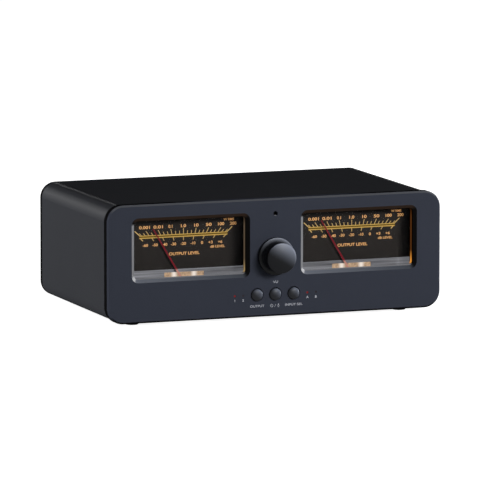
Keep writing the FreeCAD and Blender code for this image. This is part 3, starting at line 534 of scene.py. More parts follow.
# %% Sleeve, rubber and black plastic
SHINE, LINE_SHINE = 0.32, 0.015
finishes["sleeve"] = finish("sleeve_coat", srgb(46, 47, 50), 0.6, patch=30.0, spread=0.05,
                            edge=0.4, wear=0.2, level=0.0, dust=0.004)
tree, shader = opened(finishes["sleeve"])
facing = use(tree, FACING)
band = product(tree, ramp(tree, facing["Nz"], 0.05, 0.45), ramp(tree, facing["Nz"], 0.8, 0.5))
line = product(tree, ramp(tree, facing["Nz"], 0.955, 0.985),
               ramp(tree, facing["Nz"], 0.9995, 0.99))
shoulder = math_node(tree, "ADD", product(tree, band, SHINE), product(tree, line, LINE_SHINE))
not_the_ends = ramp(tree, size_of(tree, facing["Ny"]), 0.3, 0.1)
wire(tree, shader, Coat_Weight=product(tree, shoulder, not_the_ends), Coat_Roughness=0.25)

DARK = srgb(20, 20, 21)
finishes.update(
    rubber=finish("foot_rubber", DARK, 0.85, size=0.4, patch=3.0, spread=0.3, bump=0.03,
                  edge=0.3, wear=0.2, level=0.05),
    black_plastic=finish("moulded_black", DARK, 0.5, size=0.2, patch=6.0, spread=0.2,
                         level=0.1))
print("housing finishes:", sorted(finishes))

# %% [markdown]
# ## Metals
# Brushed steel and turned brass are the same recipe with full metal and stretched noise. The
# noise is stretched across the part's axis, so a screw or stud shows turning marks round it. The
# coil's wire, the dyed aluminium of the knob and buttons and the needle's red paint follow.

# %% Metal finishes
TURNED, WOUND, LENGTHWAYS = (0.15, 1.0, 0.15), (1.0, 0.05, 1.0), (0.02, 1.0, 1.0)
RUBBED = srgb(70, 72, 78)
METAL = {"metal": 1.0, "level": 0.5}
finishes.update(
    steel=finish("plated_steel", srgb(128, 128, 132), 0.4, spread=0.15, bump=0.006,
                 brush=TURNED, brush_mm=0.15, **METAL),
    magnet=finish("ground_magnet", srgb(85, 85, 88), 0.45, size=0.15, spread=0.3, bump=0.02,
                  **METAL),
    brass=finish("turned_brass", srgb(205, 165, 95), 0.3, spread=0.15, bump=0.006,
                 brush=TURNED, brush_mm=0.12, **METAL),
    gilt=finish("gilt_plate", srgb(192, 152, 84), 0.3, bump=0.005, brush=TURNED,
                brush_mm=0.25, **METAL),
    coil=finish("enamelled_wire", srgb(165, 85, 45), 0.35, spread=0.2, bump=0.04, level=0.4,
                brush=WOUND, brush_mm=0.12),
    strip=finish("brushed_strip", srgb(128, 129, 134), 0.5, spread=0.06, edge=0.1, level=0.1,
                 brush=LENGTHWAYS, brush_mm=1.9, streak=0.6),
    knob=finish("knob_anodised", srgb(9, 10, 13), 0.4, size=0.2, patch=6.0, bump=0.004,
                edge=0.15, wear=0.25, worn=RUBBED, level=0.1),
    button=finish("button_anodised", srgb(18, 19, 23), 0.42, size=0.2, patch=4.0, bump=0.004,
                  edge=0.15, wear=0.5, worn=RUBBED, level=0.15),
    needle=finish("needle_paint", srgb(120, 10, 28), 0.5, size=0.2, patch=5.0, spread=0.12,
                  bump=0.004, edge=0.05, wear=0.1, level=0.1))
print("finishes so far:", len(finishes))

# %% [markdown]
# ## Light that reaches the strip and the needle's foot
# The strip's right end lies in the window's own shadow, but the lamps inside the meter light it.
# The needle's foot passes right in front of the glowing bar, so its paint looks paler there. Both
# get a little glow of their own, from a mask on the place beside the meter's middle or on the
# height.

# %% Strip and needle glow
tree, shader = opened(finishes["strip"])
beside, _ = by_meter(tree, use(tree, FACING))
share = ramp(tree, beside, 26.5, 31.5, 0.1, 0.72)
wire(tree, shader, Emission_Color=scaled(tree, base_of(shader), share), Emission_Strength=1.0)

BAR_TOP = (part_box("lamp_diffusers")[1].z - PANEL_LOW.z) / MM
tree, shader = opened(finishes["needle"])
foot = ramp(tree, height_of(tree, use(tree, FACING)), BAR_TOP + 1.2, BAR_TOP + 0.2)
paint_over(tree, shader, foot, srgb(150, 100, 90))
wire(tree, shader, Emission_Color=blend(tree, foot, BLACK, srgb(140, 100, 90)),
     Emission_Strength=1.0)
print("lamp bar's top at", round(BAR_TOP, 2))

# %% [markdown]
# ## Turning marks on the knob
# A lathe leaves fine rings round the axis. The distance from the axis drives a one-dimensional
# noise, so the rings are perfectly round and a little uneven, and they change only the roughness
# and the bump.

# %% Turning marks
KNOB_Z = 34.1
tree, shader = opened(finishes["knob"])
facing = use(tree, FACING)
up = math_node(tree, "SUBTRACT", facing["Z mm"], row(0, 0, KNOB_Z).z / MM)
squares = math_node(tree, "ADD", product(tree, facing["X mm"], facing["X mm"]),
                    product(tree, up, up))
marks = add(tree, "ShaderNodeTexNoise", {"noise_dimensions": "1D"},
            W=math_node(tree, "SQRT", squares), Scale=6.0, Detail=2.0).outputs[0]
wire(tree, shader, Roughness=ramp(tree, marks, 0.3, 0.7, 0.31, 0.37))
wire(tree, shader.inputs["Normal"].links[0].from_node, Height=marks)
print("turning marks on", finishes["knob"].name)

# %% [markdown]
# ## Painted light and shade on the knob and the buttons
# A face of the knob or a button that leans up and to the right is painted much lighter than one
# that leans down. This gives a painted highlight above and a painted shade below, as if the light
# came from the upper right. The lean comes from the surface's own normal, so the painted shade
# stays on the piece in every view.

# %% Painted light and shade
# Painted highlight and painted shade: each row gives the lit colour that is laid on faces leaning
# up and to the right.
PAINTED_LIGHT_AND_SHADE = {  # how much leaning right counts, the leans where the shade starts and ends, its colour
    "knob": (0.6, -0.08, 0.3, srgb(116, 121, 134)),
    "button": (0.9, -0.22, 0.65, srgb(88, 94, 108)),
}
FALLOFF = 1.6
for slot, (sideways, lean_low, lean_high, light) in PAINTED_LIGHT_AND_SHADE.items():
    tree, shader = opened(finishes[slot])
    facing = use(tree, FACING)
    lean = math_node(tree, "ADD", facing["Nz"], product(tree, facing["Nx"], sideways))
    shade = math_node(tree, "POWER", ramp(tree, lean, lean_low, lean_high), FALLOFF)
    forward = ramp(tree, product(tree, facing["Ny"], -1.0), 0.6, 0.85)
    paint_over(tree, shader, product(tree, shade, forward), light)
print("dyed shades on", sorted(PAINTED_LIGHT_AND_SHADE))

# %% [markdown]
# ## Plastics, boards and relays
# The terminal caps are glossy moulded plastic, red and black. The boards are green solder mask
# with a slight weave, and the relays are dark blue boxes.

# %% Plastic finishes
finishes.update(
    cap_red=finish("cap_red_plastic", srgb(165, 22, 22), 0.3, size=0.5, patch=4.0, bump=0.004,
                   edge=0.35, wear=0.25, level=0.3),
    cap_black=finish("cap_black_plastic", srgb(26, 26, 27), 0.3, size=0.5, patch=4.0,
                     spread=0.15, bump=0.004, edge=0.35, wear=0.25),
    board=finish("solder_mask", srgb(26, 78, 50), 0.4, size=0.6, patch=8.0, spread=0.25,
                 edge=0.1, wear=0.4, worn=srgb(170, 160, 110), level=0.4),
    relay=finish("relay_box", srgb(36, 48, 84), 0.35, patch=6.0, spread=0.12, bump=0.006,
                 edge=0.3, level=0.4))
print("finishes so far:", len(finishes))

# %% [markdown]
# ## Clear cover
# The meter's front is thin clear plastic with a coating that keeps reflections down. Bending of
# light by a flat sheet this thin can't be seen, so the sheet is a film that hides a few
# hundredths of what is behind it. That keeps the dial sharp. The film has no gloss, because the
# coating leaves almost none. Faint smears make it a little denser in places.

# %% Clear cover
finishes["clear"], tree, shader = new_material("clear_cover")
smears = use(tree, GRAIN, Size_mm=2.0, Patch_mm=15.0, Colour=(0.03, 0.03, 0.032, 1.0), Spread=0.2)
wire(tree, shader, Base_Color=smears["Colour"], Specular_IOR_Level=0.0,
     Roughness=ramp(tree, smears["Patch"], 0.35, 0.8, 0.05, 0.15),
     Alpha=ramp(tree, smears["Patch"], 0.3, 0.8, 0.04, 0.06))
print("clear cover nodes", len(tree.nodes))

# %% [markdown]
# ## Dial
# The dial is a dark satin card, with no edge that shows and no wear. It needs only the grain: a
# fine one for the card's surface and a slow one that keeps its colour from being too even. The
# same short recipe serves the lamps and the inks below.

# %% Dial
def grained(name, colour, size, patch, spread, rough, level, bump=0.0, strength=0.5):
    """A material made of grain alone; rough is its lowest and highest roughness."""
    made, tree, shader = new_material(name)
    grain = use(tree, GRAIN, Size_mm=size, Patch_mm=patch, Colour=colour, Spread=spread)
    wire(tree, shader, Base_Color=grain["Colour"], Specular_IOR_Level=level,
         Roughness=ramp(tree, grain["Patch"], 0.3, 0.7, *rough))
    if bump:
        bumped = add(tree, "ShaderNodeBump", Strength=strength, Distance=bump * MM,
                     Height=grain["Height"])
        wire(tree, shader, Normal=bumped.outputs[0])
    return made


finishes["dial"] = grained("dial_card", srgb(39, 36, 34), 0.35, 14.0, 0.12, (0.6, 0.75), 0.05,
                           bump=0.01)
print("dial nodes", len(finishes["dial"].node_tree.nodes))

# %% [markdown]
# ## Lamps
# Two lamps stand behind a frosted bar in each meter. The bar glows warm and is brightest in front
# of each lamp. The glow is a falloff from each lamp's X place, so it stays with the piece in any
# view.

# %% Lamp bar
LAMP_X, LAMP_REACH, BAR_GLOW = 5.9, 2.6, 0.95
SPOT, GLASS_DARK = srgb(238, 226, 214), (0.02, 0.02, 0.02, 1.0)


def nearest(tree, centres, reach):
    """1 at these places along X, falling to 0 a reach away from each, in millimetres."""
    x_mm, spots = use(tree, FACING)["X mm"], 0.0
    for centre in centres:
        away = size_of(tree, math_node(tree, "SUBTRACT", x_mm, centre))
        spot = add(tree, "ShaderNodeMapRange", {"interpolation_type": "SMOOTHSTEP"},
                   Value=away, From_Min=reach, From_Max=0.0).outputs[0]
        spots = math_node(tree, "MAXIMUM", spots, spot)
    return spots


finishes["diffuser"] = grained("frosted_bar", srgb(178, 148, 118), 0.9, 1.6, 1.4, (0.5, 0.65),
                               0.1, bump=0.02)
tree, shader = opened(finishes["diffuser"])
lamps = [meter + side for meter in (-METER_X, METER_X) for side in (-LAMP_X, LAMP_X)]
warm = blend(tree, nearest(tree, lamps, LAMP_REACH), base_of(shader), SPOT)
wire(tree, shader, Base_Color=blend(tree, 0.15, GLASS_DARK, warm), Emission_Color=warm,
     Emission_Strength=BAR_GLOW)
print("lamps at", [round(x, 2) for x in lamps])

# %% [markdown]
# ## Indicator lamps
# Four light pipes end in the panel's small holes. Two are lit: the outer left one and the inner
# right one. One material serves all four, and the X place says which pipes glow.

# %% Light pipes
PIPE_X = (-24.4, -19.4, 19.2, 24.3)
LIT_X, PIPE_REACH, PIPE_GLOW = (PIPE_X[0], PIPE_X[2]), 1.6, 0.45
finishes["light_pipe"] = grained("light_pipe", srgb(40, 36, 42), 0.2, 1.0, 0.3, (0.2, 0.35), 0.1)
tree, shader = opened(finishes["light_pipe"])
lit = ramp(tree, nearest(tree, LIT_X, PIPE_REACH), 0.0, 0.3)
paint_over(tree, shader, lit, srgb(84, 18, 20))
wire(tree, shader, Emission_Color=blend(tree, lit, BLACK, srgb(112, 24, 26)),
     Emission_Strength=PIPE_GLOW)
print("all finishes:", len(finishes))

# %% [markdown]
# ## Put the finishes on the CAD pieces
# The record names a material slot for each node. Every node's material slots are filled from the
# finishes above, and the mesh stays as it is.

# %% Assign finishes
for entry in frame["record"]["materials"]:
    assert entry["slot"] in finishes, entry["slot"]
slot_of = {}
for name, piece in nodes.items():
    old = piece.material_slots[0].material.name if piece.material_slots else ""
    slot_of[name] = old.split(".")[0]
    for material_slot in piece.material_slots:
        material_slot.material = finishes[slot_of[name]]
print("slots used:", sorted(set(slot_of.values())))

# %% [markdown]
# ## Ink
# Lettering, ticks and signs are thin ink on a flat face. Each is built as a flat mesh two
# hundredths of a millimetre in front of its face, which is how thick screen printing really is. A
# small drawing board collects quads and letters in panel coordinates, and is then turned into one
# mesh.

# %% Drawing board
INK_LIFT = 0.02


def mesh_of(name, shape):
    """Turns a bmesh into a mesh and frees it."""
    data = bpy.data.meshes.new(name)
    shape.to_mesh(data)
    shape.free()
    return data


class InkSheet:
    """Flat shapes on a plane at one depth, in panel millimetres, each with an ink's number."""

    def __init__(self, depth):
        self.depth = depth
        self.mesh = bmesh.new()

    def polygon(self, points, ink=0):
        corners = [self.mesh.verts.new(row(x, self.depth, z)) for x, z in points]
        face = self.mesh.faces.new(corners)
        face.material_index = ink
        face.normal_update()
        if face.normal.y > 0:
            face.normal_flip()

    def stroke(self, start, end, width, ink=0):
        (x0, z0), (x1, z1) = start, end
        length = math.hypot(x1 - x0, z1 - z0)
        dx, dz = -(z1 - z0) / length / 2 * width, (x1 - x0) / length / 2 * width
        self.polygon([(x0 + dx, z0 + dz), (x0 - dx, z0 - dz), (x1 - dx, z1 - dz),
                      (x1 + dx, z1 + dz)], ink)

    def arc(self, centre, radius, width, start, end, steps=16):
        """Part of a ring between two angles in degrees, anticlockwise from +X."""
        inner, outer = radius - width / 2, radius + width / 2
        for i in range(steps):
            points = []
            for r, k in ((inner, i), (outer, i), (outer, i + 1), (inner, i + 1)):
                angle = math.radians(start + (end - start) * k / steps)
                points.append((centre[0] + r * math.cos(angle), centre[1] + r * math.sin(angle)))
            self.polygon(points)

    def word(self, text, centre_x, base_z, height, width=None, bold=0.0, ink=0):
        """Letters centred on centre_x, scaled to a height and, where given, to a width."""
        curve = bpy.data.curves.new("letters", "FONT")
        curve.body = text
        curve.offset = bold
        probe = new_object("letters", curve)
        bpy.context.view_layer.update()
        mesh = bpy.data.meshes.new_from_object(probe)
        bpy.data.objects.remove(probe)
        xs = [v.co.x for v in mesh.vertices]
        ys = [v.co.y for v in mesh.vertices]
        tall = height / (max(ys) - min(ys))
        wide = tall if width is None else width / (max(xs) - min(xs))
        middle = (max(xs) + min(xs)) / 2
        for polygon in mesh.polygons:
            points = [mesh.vertices[i].co for i in polygon.vertices]
            self.polygon([(centre_x + (p.x - middle) * wide, base_z + (p.y - min(ys)) * tall)
                          for p in points], ink)
        bpy.data.meshes.remove(mesh)

    def piece(self, name, inks):
        """Ends the drawing: one mesh with its inks, which rides on the unit."""
        made = new_object(name, mesh_of(name, self.mesh))
        for ink in inks:
            made.data.materials.append(ink)
        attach(made, "unit")
        print(name, "faces", len(made.data.polygons))


print("the dial's sheets lie at depth", round(DIAL_DEPTH - INK_LIFT, 2))

# %% Ink finish
def ink_finish(name, colour, glow):
    """Matt ink with a fine speckle; a dial's ink is lit from behind, so it glows a little."""
    made = grained(name, colour, 0.12, 6.0, 0.25, (0.5, 0.7), 0.1, bump=0.004, strength=0.4)
    if glow:
        tree, shader = opened(made)
        wire(tree, shader, Emission_Color=base_of(shader), Emission_Strength=glow)
    return made


print("ink lies", INK_LIFT, "mm in front of its face")

# %% [markdown]
# ## The dial's scale
# The scale has two rules, one above the other. Ticks stand on the upper rule and hang from the
# lower one, and all of them point at the needle's pivot, so they lean more towards the ends. One
# loop per row draws them from the pivot. Four inks are used, from pale gold to amber.

# %% Scale inks and places
TICKS, BETWEEN, LETTERS, RULES = range(4)
SCALE_INKS = (ink_finish("ink_gold", srgb(180, 152, 94), 0.5),
              ink_finish("ink_deep_gold", srgb(84, 62, 10), 0.4),
              ink_finish("ink_amber", srgb(200, 150, 94), 0.65),
              ink_finish("ink_rule_gold", srgb(172, 140, 68), 0.5))

UPPER_RULE, LOWER_RULE, RULE_HALF = (47.25, 47.7), (45.95, 46.5), 25.9
TICK_STEP, TICK_W, THICK_TICK_W = 2.24, 0.34, 0.45
TICK, MAJOR_TICK, END_TICK, HANGING_TICK = 2.0, 3.3, 4.1, -2.1
OVERLAP, END_OVERLAP = 0.2, 0.3
SPREAD, BOLD = 1.012, 0.018
UPPER_NUMBERS = ((-22.9, "0.001", 6.4), (-14.9, "0.01", 5.6), (-7.7, "0.1", 2.4),
                 (0.0, "1.0", 3.0), (7.6, "10", 2.6), (14.9, "50", 3.4), (22.2, "100", 3.7),
                 (29.3, "200", 3.8))
LOWER_TICKS = (-25.3, -18.7, -12.3, -6.1, 0.0, 6.1, 12.3, 18.7, 25.0)
LOWER_NUMBERS = ((-22.4, "-60", 3.1), (-16.7, "-50", 3.1), (-11.1, "-40", 3.1),
                 (-5.9, "-30", 3.1), (-0.1, "-20", 3.1), (5.6, "-10", 2.9), (10.9, "0", 1.2),
                 (15.9, "+3", 2.6), (21.6, "+6", 2.6))
ROWS = ((UPPER_NUMBERS, 51.35, 1.75), (LOWER_NUMBERS, 41.35, 1.6),
        (((26.7, "W RMS", 6.2),), 53.95, 1.35), (((20.1, "dB LEVEL", 8.8),), 38.95, 1.35),
        (((0.45, "OUTPUT LEVEL", 18.2),), 35.75, 1.7))
print("numbers on a dial:", len(UPPER_NUMBERS) + len(LOWER_NUMBERS))

# %% Draw the scales
def radial(x, z, length):
    """The far end of a tick that starts at (x, z) and points away from the pivot."""
    away = math.hypot(x, z - PIVOT_Z)
    return x + x / away * length, z + (z - PIVOT_Z) / away * length


def draw_scale(sheet, centre):
    def at(x, z):
        return centre + SPREAD * x, z

    def tick(start_x, z, x, from_z, length, width):
        sheet.stroke(at(start_x, z), at(*radial(x, from_z, length)), width, TICKS)

    between = (LOWER_RULE[1], UPPER_RULE[0])
    for low_high, ink in ((UPPER_RULE, RULES), (between, BETWEEN), (LOWER_RULE, RULES)):
        level = sum(low_high) / 2
        sheet.stroke(at(-RULE_HALF, level), at(RULE_HALF, level), low_high[1] - low_high[0], ink)
    foot = UPPER_RULE[1] - OVERLAP
    for k in range(-11, 12):
        x = k * TICK_STEP
        tick(x, foot, x, foot, MAJOR_TICK if k % 3 == 0 else TICK, TICK_W)
    for side in (-1, 1):
        x = side * RULE_HALF
        tick(x - side * END_OVERLAP, UPPER_RULE[0] + END_OVERLAP, x,
             UPPER_RULE[1] - END_OVERLAP, END_TICK, THICK_TICK_W)
    foot = LOWER_RULE[0] + OVERLAP
    for x in LOWER_TICKS:
        at_end = x in (LOWER_TICKS[0], LOWER_TICKS[-1])
        tick(x, foot, x, foot, HANGING_TICK, THICK_TICK_W if at_end else TICK_W)
    for words, base_z, height in ROWS:
        for x, text, width in words:
            sheet.word(text, at(x, 0)[0], base_z, height, width, BOLD, LETTERS)


for side, middle in (("left", -METER_X - 0.25), ("right", METER_X + 0.2)):
    sheet = InkSheet(DIAL_DEPTH - INK_LIFT)
    draw_scale(sheet, middle)
    sheet.piece(f"{side}_scale_ink", SCALE_INKS)

# %% [markdown]
# ## The panel's legends
# The panel's small signs are pale grey ink: two letters under the knob, a word under each outer
# button, an on-off ring and a microphone under the middle one, and a digit or letter under each
# indicator lamp.

# %% Panel legends
RING, MIC_X = (-2.3, 6.1), 1.7
sheet = InkSheet(-INK_LIFT)
for text, x, z, height, width in (("VU", 0.0, 18.75, 1.5, 3.0), ("OUTPUT", -11.0, 5.55, 1.3, 8.5),
                                  ("INPUT SEL", 11.0, 5.55, 1.3, 10.4)):
    sheet.word(text, x, z, height, width, bold=0.015)
for text, x in zip("12AB", PIPE_X):
    sheet.word(text, x, 9.2, 1.4, bold=0.03)
sheet.arc(RING, 0.75, 0.22, 120, 420)
sheet.stroke((RING[0], 6.2), (RING[0], 7.1), 0.22)
sheet.stroke((-0.5, 5.3), (0.2, 6.9), 0.2)
sheet.stroke((MIC_X, 6.2), (MIC_X, 6.8), 0.55)
sheet.arc((MIC_X, 6.8), 0.14, 0.28, 0, 180, steps=8)
sheet.arc((MIC_X, 6.15), 0.55, 0.16, 180, 360, steps=10)
sheet.stroke((MIC_X, 5.6), (MIC_X, 5.2), 0.18)
sheet.stroke((MIC_X - 0.4, 5.2), (MIC_X + 0.4, 5.2), 0.18)
sheet.piece("panel_legends", [ink_finish("ink_pale_grey", srgb(160, 162, 170), 0.0)])

# %% [markdown]
# ## Turned pieces
# The knob, the buttons and the terminal caps are round. The drawing's flat facets can't show
# their soft domes and fine flutes. A profile spun round the axis can, and it is how the real
# pieces are made. A last helper lets a spun piece take its CAD node's place.

# %% Profiles
def arc_points(radius, edge, crown, steps=10):
    """A shallow dome from its rim at depth edge to its middle at depth crown."""
    return [(radius * (1 - k / steps), crown + (edge - crown) * (1 - k / steps) ** 2)
            for k in range(steps + 1)]


def round_points(radius, edge, crown, steps=14):
    """A pebble's dome: flat in the middle and steep at the rim, a quarter of an ellipse."""
    turns = [math.pi / 2 * k / steps for k in range(steps)]
    return [(radius * math.cos(a), edge + (crown - edge) * math.sin(a)) for a in turns] + [
        (0.0, crown)]


def fluted(radius, depth, angle, grip):
    """The radius at an angle, less the flute there. A grip is (count, depth, low, high)."""
    count, cut, low, high = grip
    if not low <= depth <= high:
        return radius
    return radius - cut * (0.5 - 0.5 * math.cos(count * angle)) ** 2


print("points on a pebble's dome:", len(round_points(1.0, 1.0, 0.0)))

# %% Turning
SHARP_ANGLE = math.radians(32)


def spin(name, profile, x, z, steps=96, grip=(0, 0.0, 0.0, 0.0)):
    """A closed body of revolution about the depth axis, from (radius, depth) points in mm."""
    mesh = bmesh.new()
    rings = []
    for radius, depth in profile:
        ring = []
        for k in range(steps if radius else 1):
            angle = 2 * math.pi * k / steps
            r = fluted(radius, depth, angle, grip)
            spot = row(x + r * math.cos(angle), depth, z + r * math.sin(angle))
            ring.append(mesh.verts.new(spot))
        rings.append(ring)
    for ring, after in zip(rings, rings[1:] + rings[:1]):
        if len(ring) == 1 and len(after) == 1:
            continue
        for k in range(steps):
            ordered = [ring[k % len(ring)], ring[(k + 1) % len(ring)],
                       after[(k + 1) % len(after)], after[k % len(after)]]
            mesh.faces.new(list(dict.fromkeys(ordered)))
    bmesh.ops.recalc_face_normals(mesh, faces=mesh.faces)
    data = mesh_of(name, mesh)
    data.shade_smooth()
    data.set_sharp_from_angle(angle=SHARP_ANGLE)
    return new_object(name, data)


def stand_in(piece, node, body):
    """The piece takes the CAD node's place, its finish and its body."""
    piece.data.materials.clear()
    piece.data.materials.append(finishes[slot_of[node]])
    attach(piece, body)
    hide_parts(node)
    print(piece.name, "faces", len(piece.data.polygons), "for", node)


print("edges over", round(math.degrees(SHARP_ANGLE)), "degrees stay sharp")

# %% [markdown]
# ## Knob
# The knob is turned from a bar: a wide flange, a narrow neck and a barrel whose face is slightly
# domed, so that the light falls off across it. This adds to the painted highlight and painted shade
# laid on the knob earlier. A small hole for the set screw is drilled into the underside of its
# barrel, which a boolean does best.

# %% Knob
low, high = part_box("knob")
KNOB_FRONT, KNOB_BACK = depths(low, high)
FLANGE_R, BARREL_R, NECK_R, CAVITY_R, BORE_R = (high.x - low.x) / 2 / MM, 8.65, 7.9, 6.5, 3.03
FLANGE_THICK, NECK_LONG, CAVITY_DEEP, FACE_THICK, DOME, EASE = 1.7, 1.3, 2.9, 1.0, 1.1, 0.15
SCREW_R = 1.53
flange_front = KNOB_BACK - FLANGE_THICK
barrel_back = flange_front - NECK_LONG
rim = KNOB_FRONT + DOME
profile = [(CAVITY_R, KNOB_BACK), (FLANGE_R - EASE, KNOB_BACK), (FLANGE_R, KNOB_BACK - EASE),
           (FLANGE_R, flange_front + 0.5), (FLANGE_R - EASE, flange_front + EASE),
           (FLANGE_R - 0.5, flange_front), (NECK_R + 0.3, flange_front),
           (NECK_R, flange_front - 0.3), (NECK_R, barrel_back), (BARREL_R - EASE, barrel_back),
           (BARREL_R, barrel_back - EASE), (BARREL_R, rim + 0.3), (BARREL_R - 0.1, rim + 0.1)]
profile += arc_points(BARREL_R - 0.3, rim, KNOB_FRONT)
profile += [(0.0, KNOB_FRONT + FACE_THICK), (BORE_R, KNOB_FRONT + FACE_THICK),
            (BORE_R, KNOB_BACK - CAVITY_DEEP), (CAVITY_R, KNOB_BACK - CAVITY_DEEP)]
knob = spin("turned_knob", profile, 0.0, KNOB_Z)
print("knob", round(KNOB_BACK - KNOB_FRONT, 2), "mm long")


# %% Set screw's hole
def drill(piece, radius, start, end):
    """Cuts a round hole between two points, given in metres."""
    mesh = bmesh.new()
    bmesh.ops.create_cone(mesh, cap_ends=True, segments=32, radius1=radius * MM,
                          radius2=radius * MM, depth=(end - start).length)
    tool = new_object("drill", mesh_of("drill", mesh))
    tool.location = (start + end) / 2
    tool.rotation_euler = (end - start).to_track_quat("Z", "Y").to_euler()
    piece.modifiers.new("hole", "BOOLEAN").object = tool
    bpy.context.view_layer.update()
    view = bpy.context.evaluated_depsgraph_get()
    cut_mesh = bpy.data.meshes.new_from_object(piece.evaluated_get(view))
    piece.modifiers.clear()
    piece.data = cut_mesh
    bpy.data.objects.remove(tool)


screw_depth = (barrel_back + KNOB_FRONT) / 2
drill(knob, SCREW_R, row(0, screw_depth, KNOB_Z - BORE_R),
      row(0, screw_depth, KNOB_Z - 2 * BARREL_R))
stand_in(knob, "knob", "knob")

# %% [markdown]
# ## Buttons
# Each button is a small pebble of dyed aluminium on a stem, with a flange behind the panel that
# keeps it in its hole. A rounder dome than the knob's shapes its soft highlight, together with the
# painted highlight and painted shade laid on the buttons earlier.

# %% Buttons
BUTTON_Z, BUTTON_R, BUTTON_DOME, STEM_R = 12.5, 3.5, 1.3, 1.6
BUTTON_FLANGE, BUTTON_FLANGE_THICK = 5.8, 1.0
for side, x in (("left", -11.0), ("middle", 0.0), ("right", 11.0)):
    low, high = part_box(f"{side}_button")
    front, back = depths(low, high)
    flange_r = (high.x - low.x) / 2 / MM
    flange_back = BUTTON_FLANGE + BUTTON_FLANGE_THICK
    profile = [(STEM_R, back), (STEM_R, flange_back), (flange_r, flange_back),
               (flange_r, BUTTON_FLANGE), (BUTTON_R, BUTTON_FLANGE),
               (BUTTON_R, front + BUTTON_DOME + 0.1)]
    profile += round_points(BUTTON_R, front + BUTTON_DOME, front) + [(0.0, back)]
    button = spin(f"domed_{side}_button", profile, x, BUTTON_Z, steps=64)
    stand_in(button, f"{side}_button", f"{side}_button")

# %% [markdown]
# ## Terminal caps
# Each of the sixteen caps at the back is moulded with flutes for the fingers, a smooth band
# towards the panel and a rounded end. One profile is spun with flutes cut into its middle, and a
# loop puts one in the place of each CAD cap.

# %% Terminal caps
CAP_R, CAP_BORE, FLUTES, FLUTE_DEPTH = 5.28, 2.91, 18, 0.45
GROOVE_R = CAP_R - 0.25
for node in sorted(name for name in nodes if name.endswith("_cap")):
    low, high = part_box(node)
    x, z = (low.x + high.x) / 2 / MM, ((low.z + high.z) / 2 - PANEL_LOW.z) / MM
    y0, y1 = depths(low, high)
    profile = [(CAP_BORE, y0), (CAP_R - 0.3, y0), (CAP_R, y0 + 0.3), (CAP_R, y0 + 2.2),
               (GROOVE_R, y0 + 2.4), (GROOVE_R, y0 + 2.9), (CAP_R, y0 + 3.1), (CAP_R, y1 - 1.6),
               (CAP_R - 0.3, y1 - 0.7), (CAP_R - 1.0, y1 - 0.12), (CAP_R - 1.6, y1),
               (CAP_BORE + 0.4, y1), (CAP_BORE, y1 - 0.4)]
    grip = (FLUTES, FLUTE_DEPTH, y0 + 3.0, y1 - 0.7)
    stand_in(spin(f"fluted_{node}", profile, x, z, steps=6 * FLUTES, grip=grip), node, node)

# %% [markdown]
# ## Microphone mesh
# Behind the small hole above the knob sits a microphone. A black woven disc keeps dust out and
# hides its metal. The disc is a thin plate with rings of raised beads, each ring a little higher
# or lower than the next, which is what such a mesh looks like up close.

# %% Microphone mesh
MIC_Z, MIC_R, MIC_DEPTH, RINGS = 58.2, 1.27, 2.5, 5
BEAD = ((0, 0.12), (1, 0.12), (1, 0.88), (0, 0.88))
mesh = bmesh.new()
for ring in range(RINGS):
    beads = 12 + 6 * ring
    depth = MIC_DEPTH - 0.04 - 0.02 * (ring % 2)
    for k in range(beads):
        corners = []
        for outer, share in BEAD:
            r, a = MIC_R * (ring + outer) / RINGS, (k + share) * 2 * math.pi / beads
            corners.append(mesh.verts.new(row(r * math.cos(a), depth, MIC_Z + r * math.sin(a))))
        mesh.faces.new(corners[::-1])
bmesh.ops.remove_doubles(mesh, verts=mesh.verts, dist=1e-7)
back = bmesh.ops.create_circle(mesh, cap_ends=True, segments=32, radius=MIC_R * MM)["verts"]
turn_to_front = Vector((0, 0, 1)).rotation_difference(Vector((0, -1, 0))).to_matrix()
bmesh.ops.rotate(mesh, verts=back, matrix=turn_to_front)
bmesh.ops.translate(mesh, verts=back, vec=row(0, MIC_DEPTH - 0.01, MIC_Z))
weave = new_object("microphone_mesh", mesh_of("microphone_mesh", mesh))
weave.data.materials.append(finish("black_weave", srgb(14, 14, 15), 0.8, size=0.1, patch=0.6,
                                   spread=0.4, bump=0.02, edge=0.03, wear=0.2, level=0.0))
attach(weave, "unit")
print("microphone mesh faces", len(weave.data.polygons))

# %% [markdown]
# ## Floor
# A white sweep carries the unit. For the camera and for mirrors it is lifted to plain white, and
# where the unit shades it the light falls away, so the shadow stays.

# %% Floor
FLOOR_SIZE, FLOOR_GLOW = 60.0, 0.93


def seen(tree):
    """1 for what the camera sees, plainly or in a mirror or glass, and 0 for other light."""
    rays = add(tree, "ShaderNodeLightPath").outputs
    mirrored = math_node(tree, "MAXIMUM", rays["Is Glossy Ray"], rays["Is Transmission Ray"])
    return math_node(tree, "MAXIMUM", rays["Is Camera Ray"], mirrored)


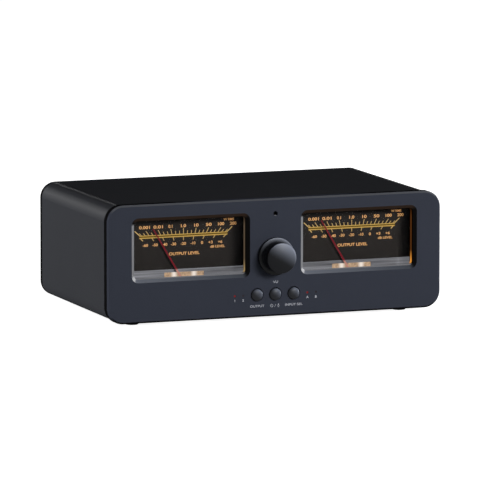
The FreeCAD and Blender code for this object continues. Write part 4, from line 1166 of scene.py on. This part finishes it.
bpy.ops.mesh.primitive_plane_add(size=FLOOR_SIZE, location=(0, 0, 0))
floor = bpy.context.object
floor.name = "floor"
made, tree, shader = new_material("floor_white")
grain = use(tree, GRAIN, Size_mm=2.0, Patch_mm=400.0, Colour=(0.8, 0.8, 0.8, 1.0), Spread=0.02)
wire(tree, shader, Base_Color=grain["Colour"], Roughness=0.9, Specular_IOR_Level=0.0,
     Emission_Color=blend(tree, seen(tree), BLACK, WHITE), Emission_Strength=FLOOR_GLOW)
floor.data.materials.append(made)
print("floor", FLOOR_SIZE, "m wide")

# %% [markdown]
# ## Surroundings
# The surroundings give a low even light, and for the camera, mirrors and glass they are plain
# white, like the walls of a photographer's tent.

# %% World
AMBIENT = 0.06
world = bpy.data.worlds.new("studio")
bpy.context.scene.world = world
world.use_nodes = True
tree = world.node_tree
tree.nodes.clear()
shade = blend(tree, seen(tree), (AMBIENT, AMBIENT, AMBIENT * 1.02, 1.0), WHITE)
sky = add(tree, "ShaderNodeBackground", Color=shade, Strength=1.0)
add(tree, "ShaderNodeOutputWorld", Surface=sky.outputs[0])
print("ambient light", AMBIENT)

# %% [markdown]
# ## Light
# The key is a soft box in front, above and to the right, so that the knob throws its shadow to
# the lower left. Two low boxes beside the unit light its sides, and one at the back lights the
# terminals. A larger box gives a softer edge to the light, which is why none of them is small.

# %% Soft boxes
LIGHT_AIM = (0.0, 0.0, 0.035)
SOFT_BOXES = {  # place, width and height, watts
    "key_box": ((0.62, -1.6, 0.62), (0.6, 0.35), 27.0),
    "right_box": ((1.3, -0.11, 0.05), (0.6, 0.3), 20.0),
    "left_box": ((-1.6, 0.42, 0.09), (0.5, 0.14), 35.0),
    "back_box": ((0.5, 1.6, 0.25), (0.8, 0.3), 18.0),
}
for name, (at, size, power) in SOFT_BOXES.items():
    data = bpy.data.lights.new(name, "AREA")
    data.shape = "RECTANGLE"
    data.size, data.size_y = size
    data.energy = power
    point_at(new_object(name, data), at, LIGHT_AIM)
    print(name, "power", power, "W at", at)
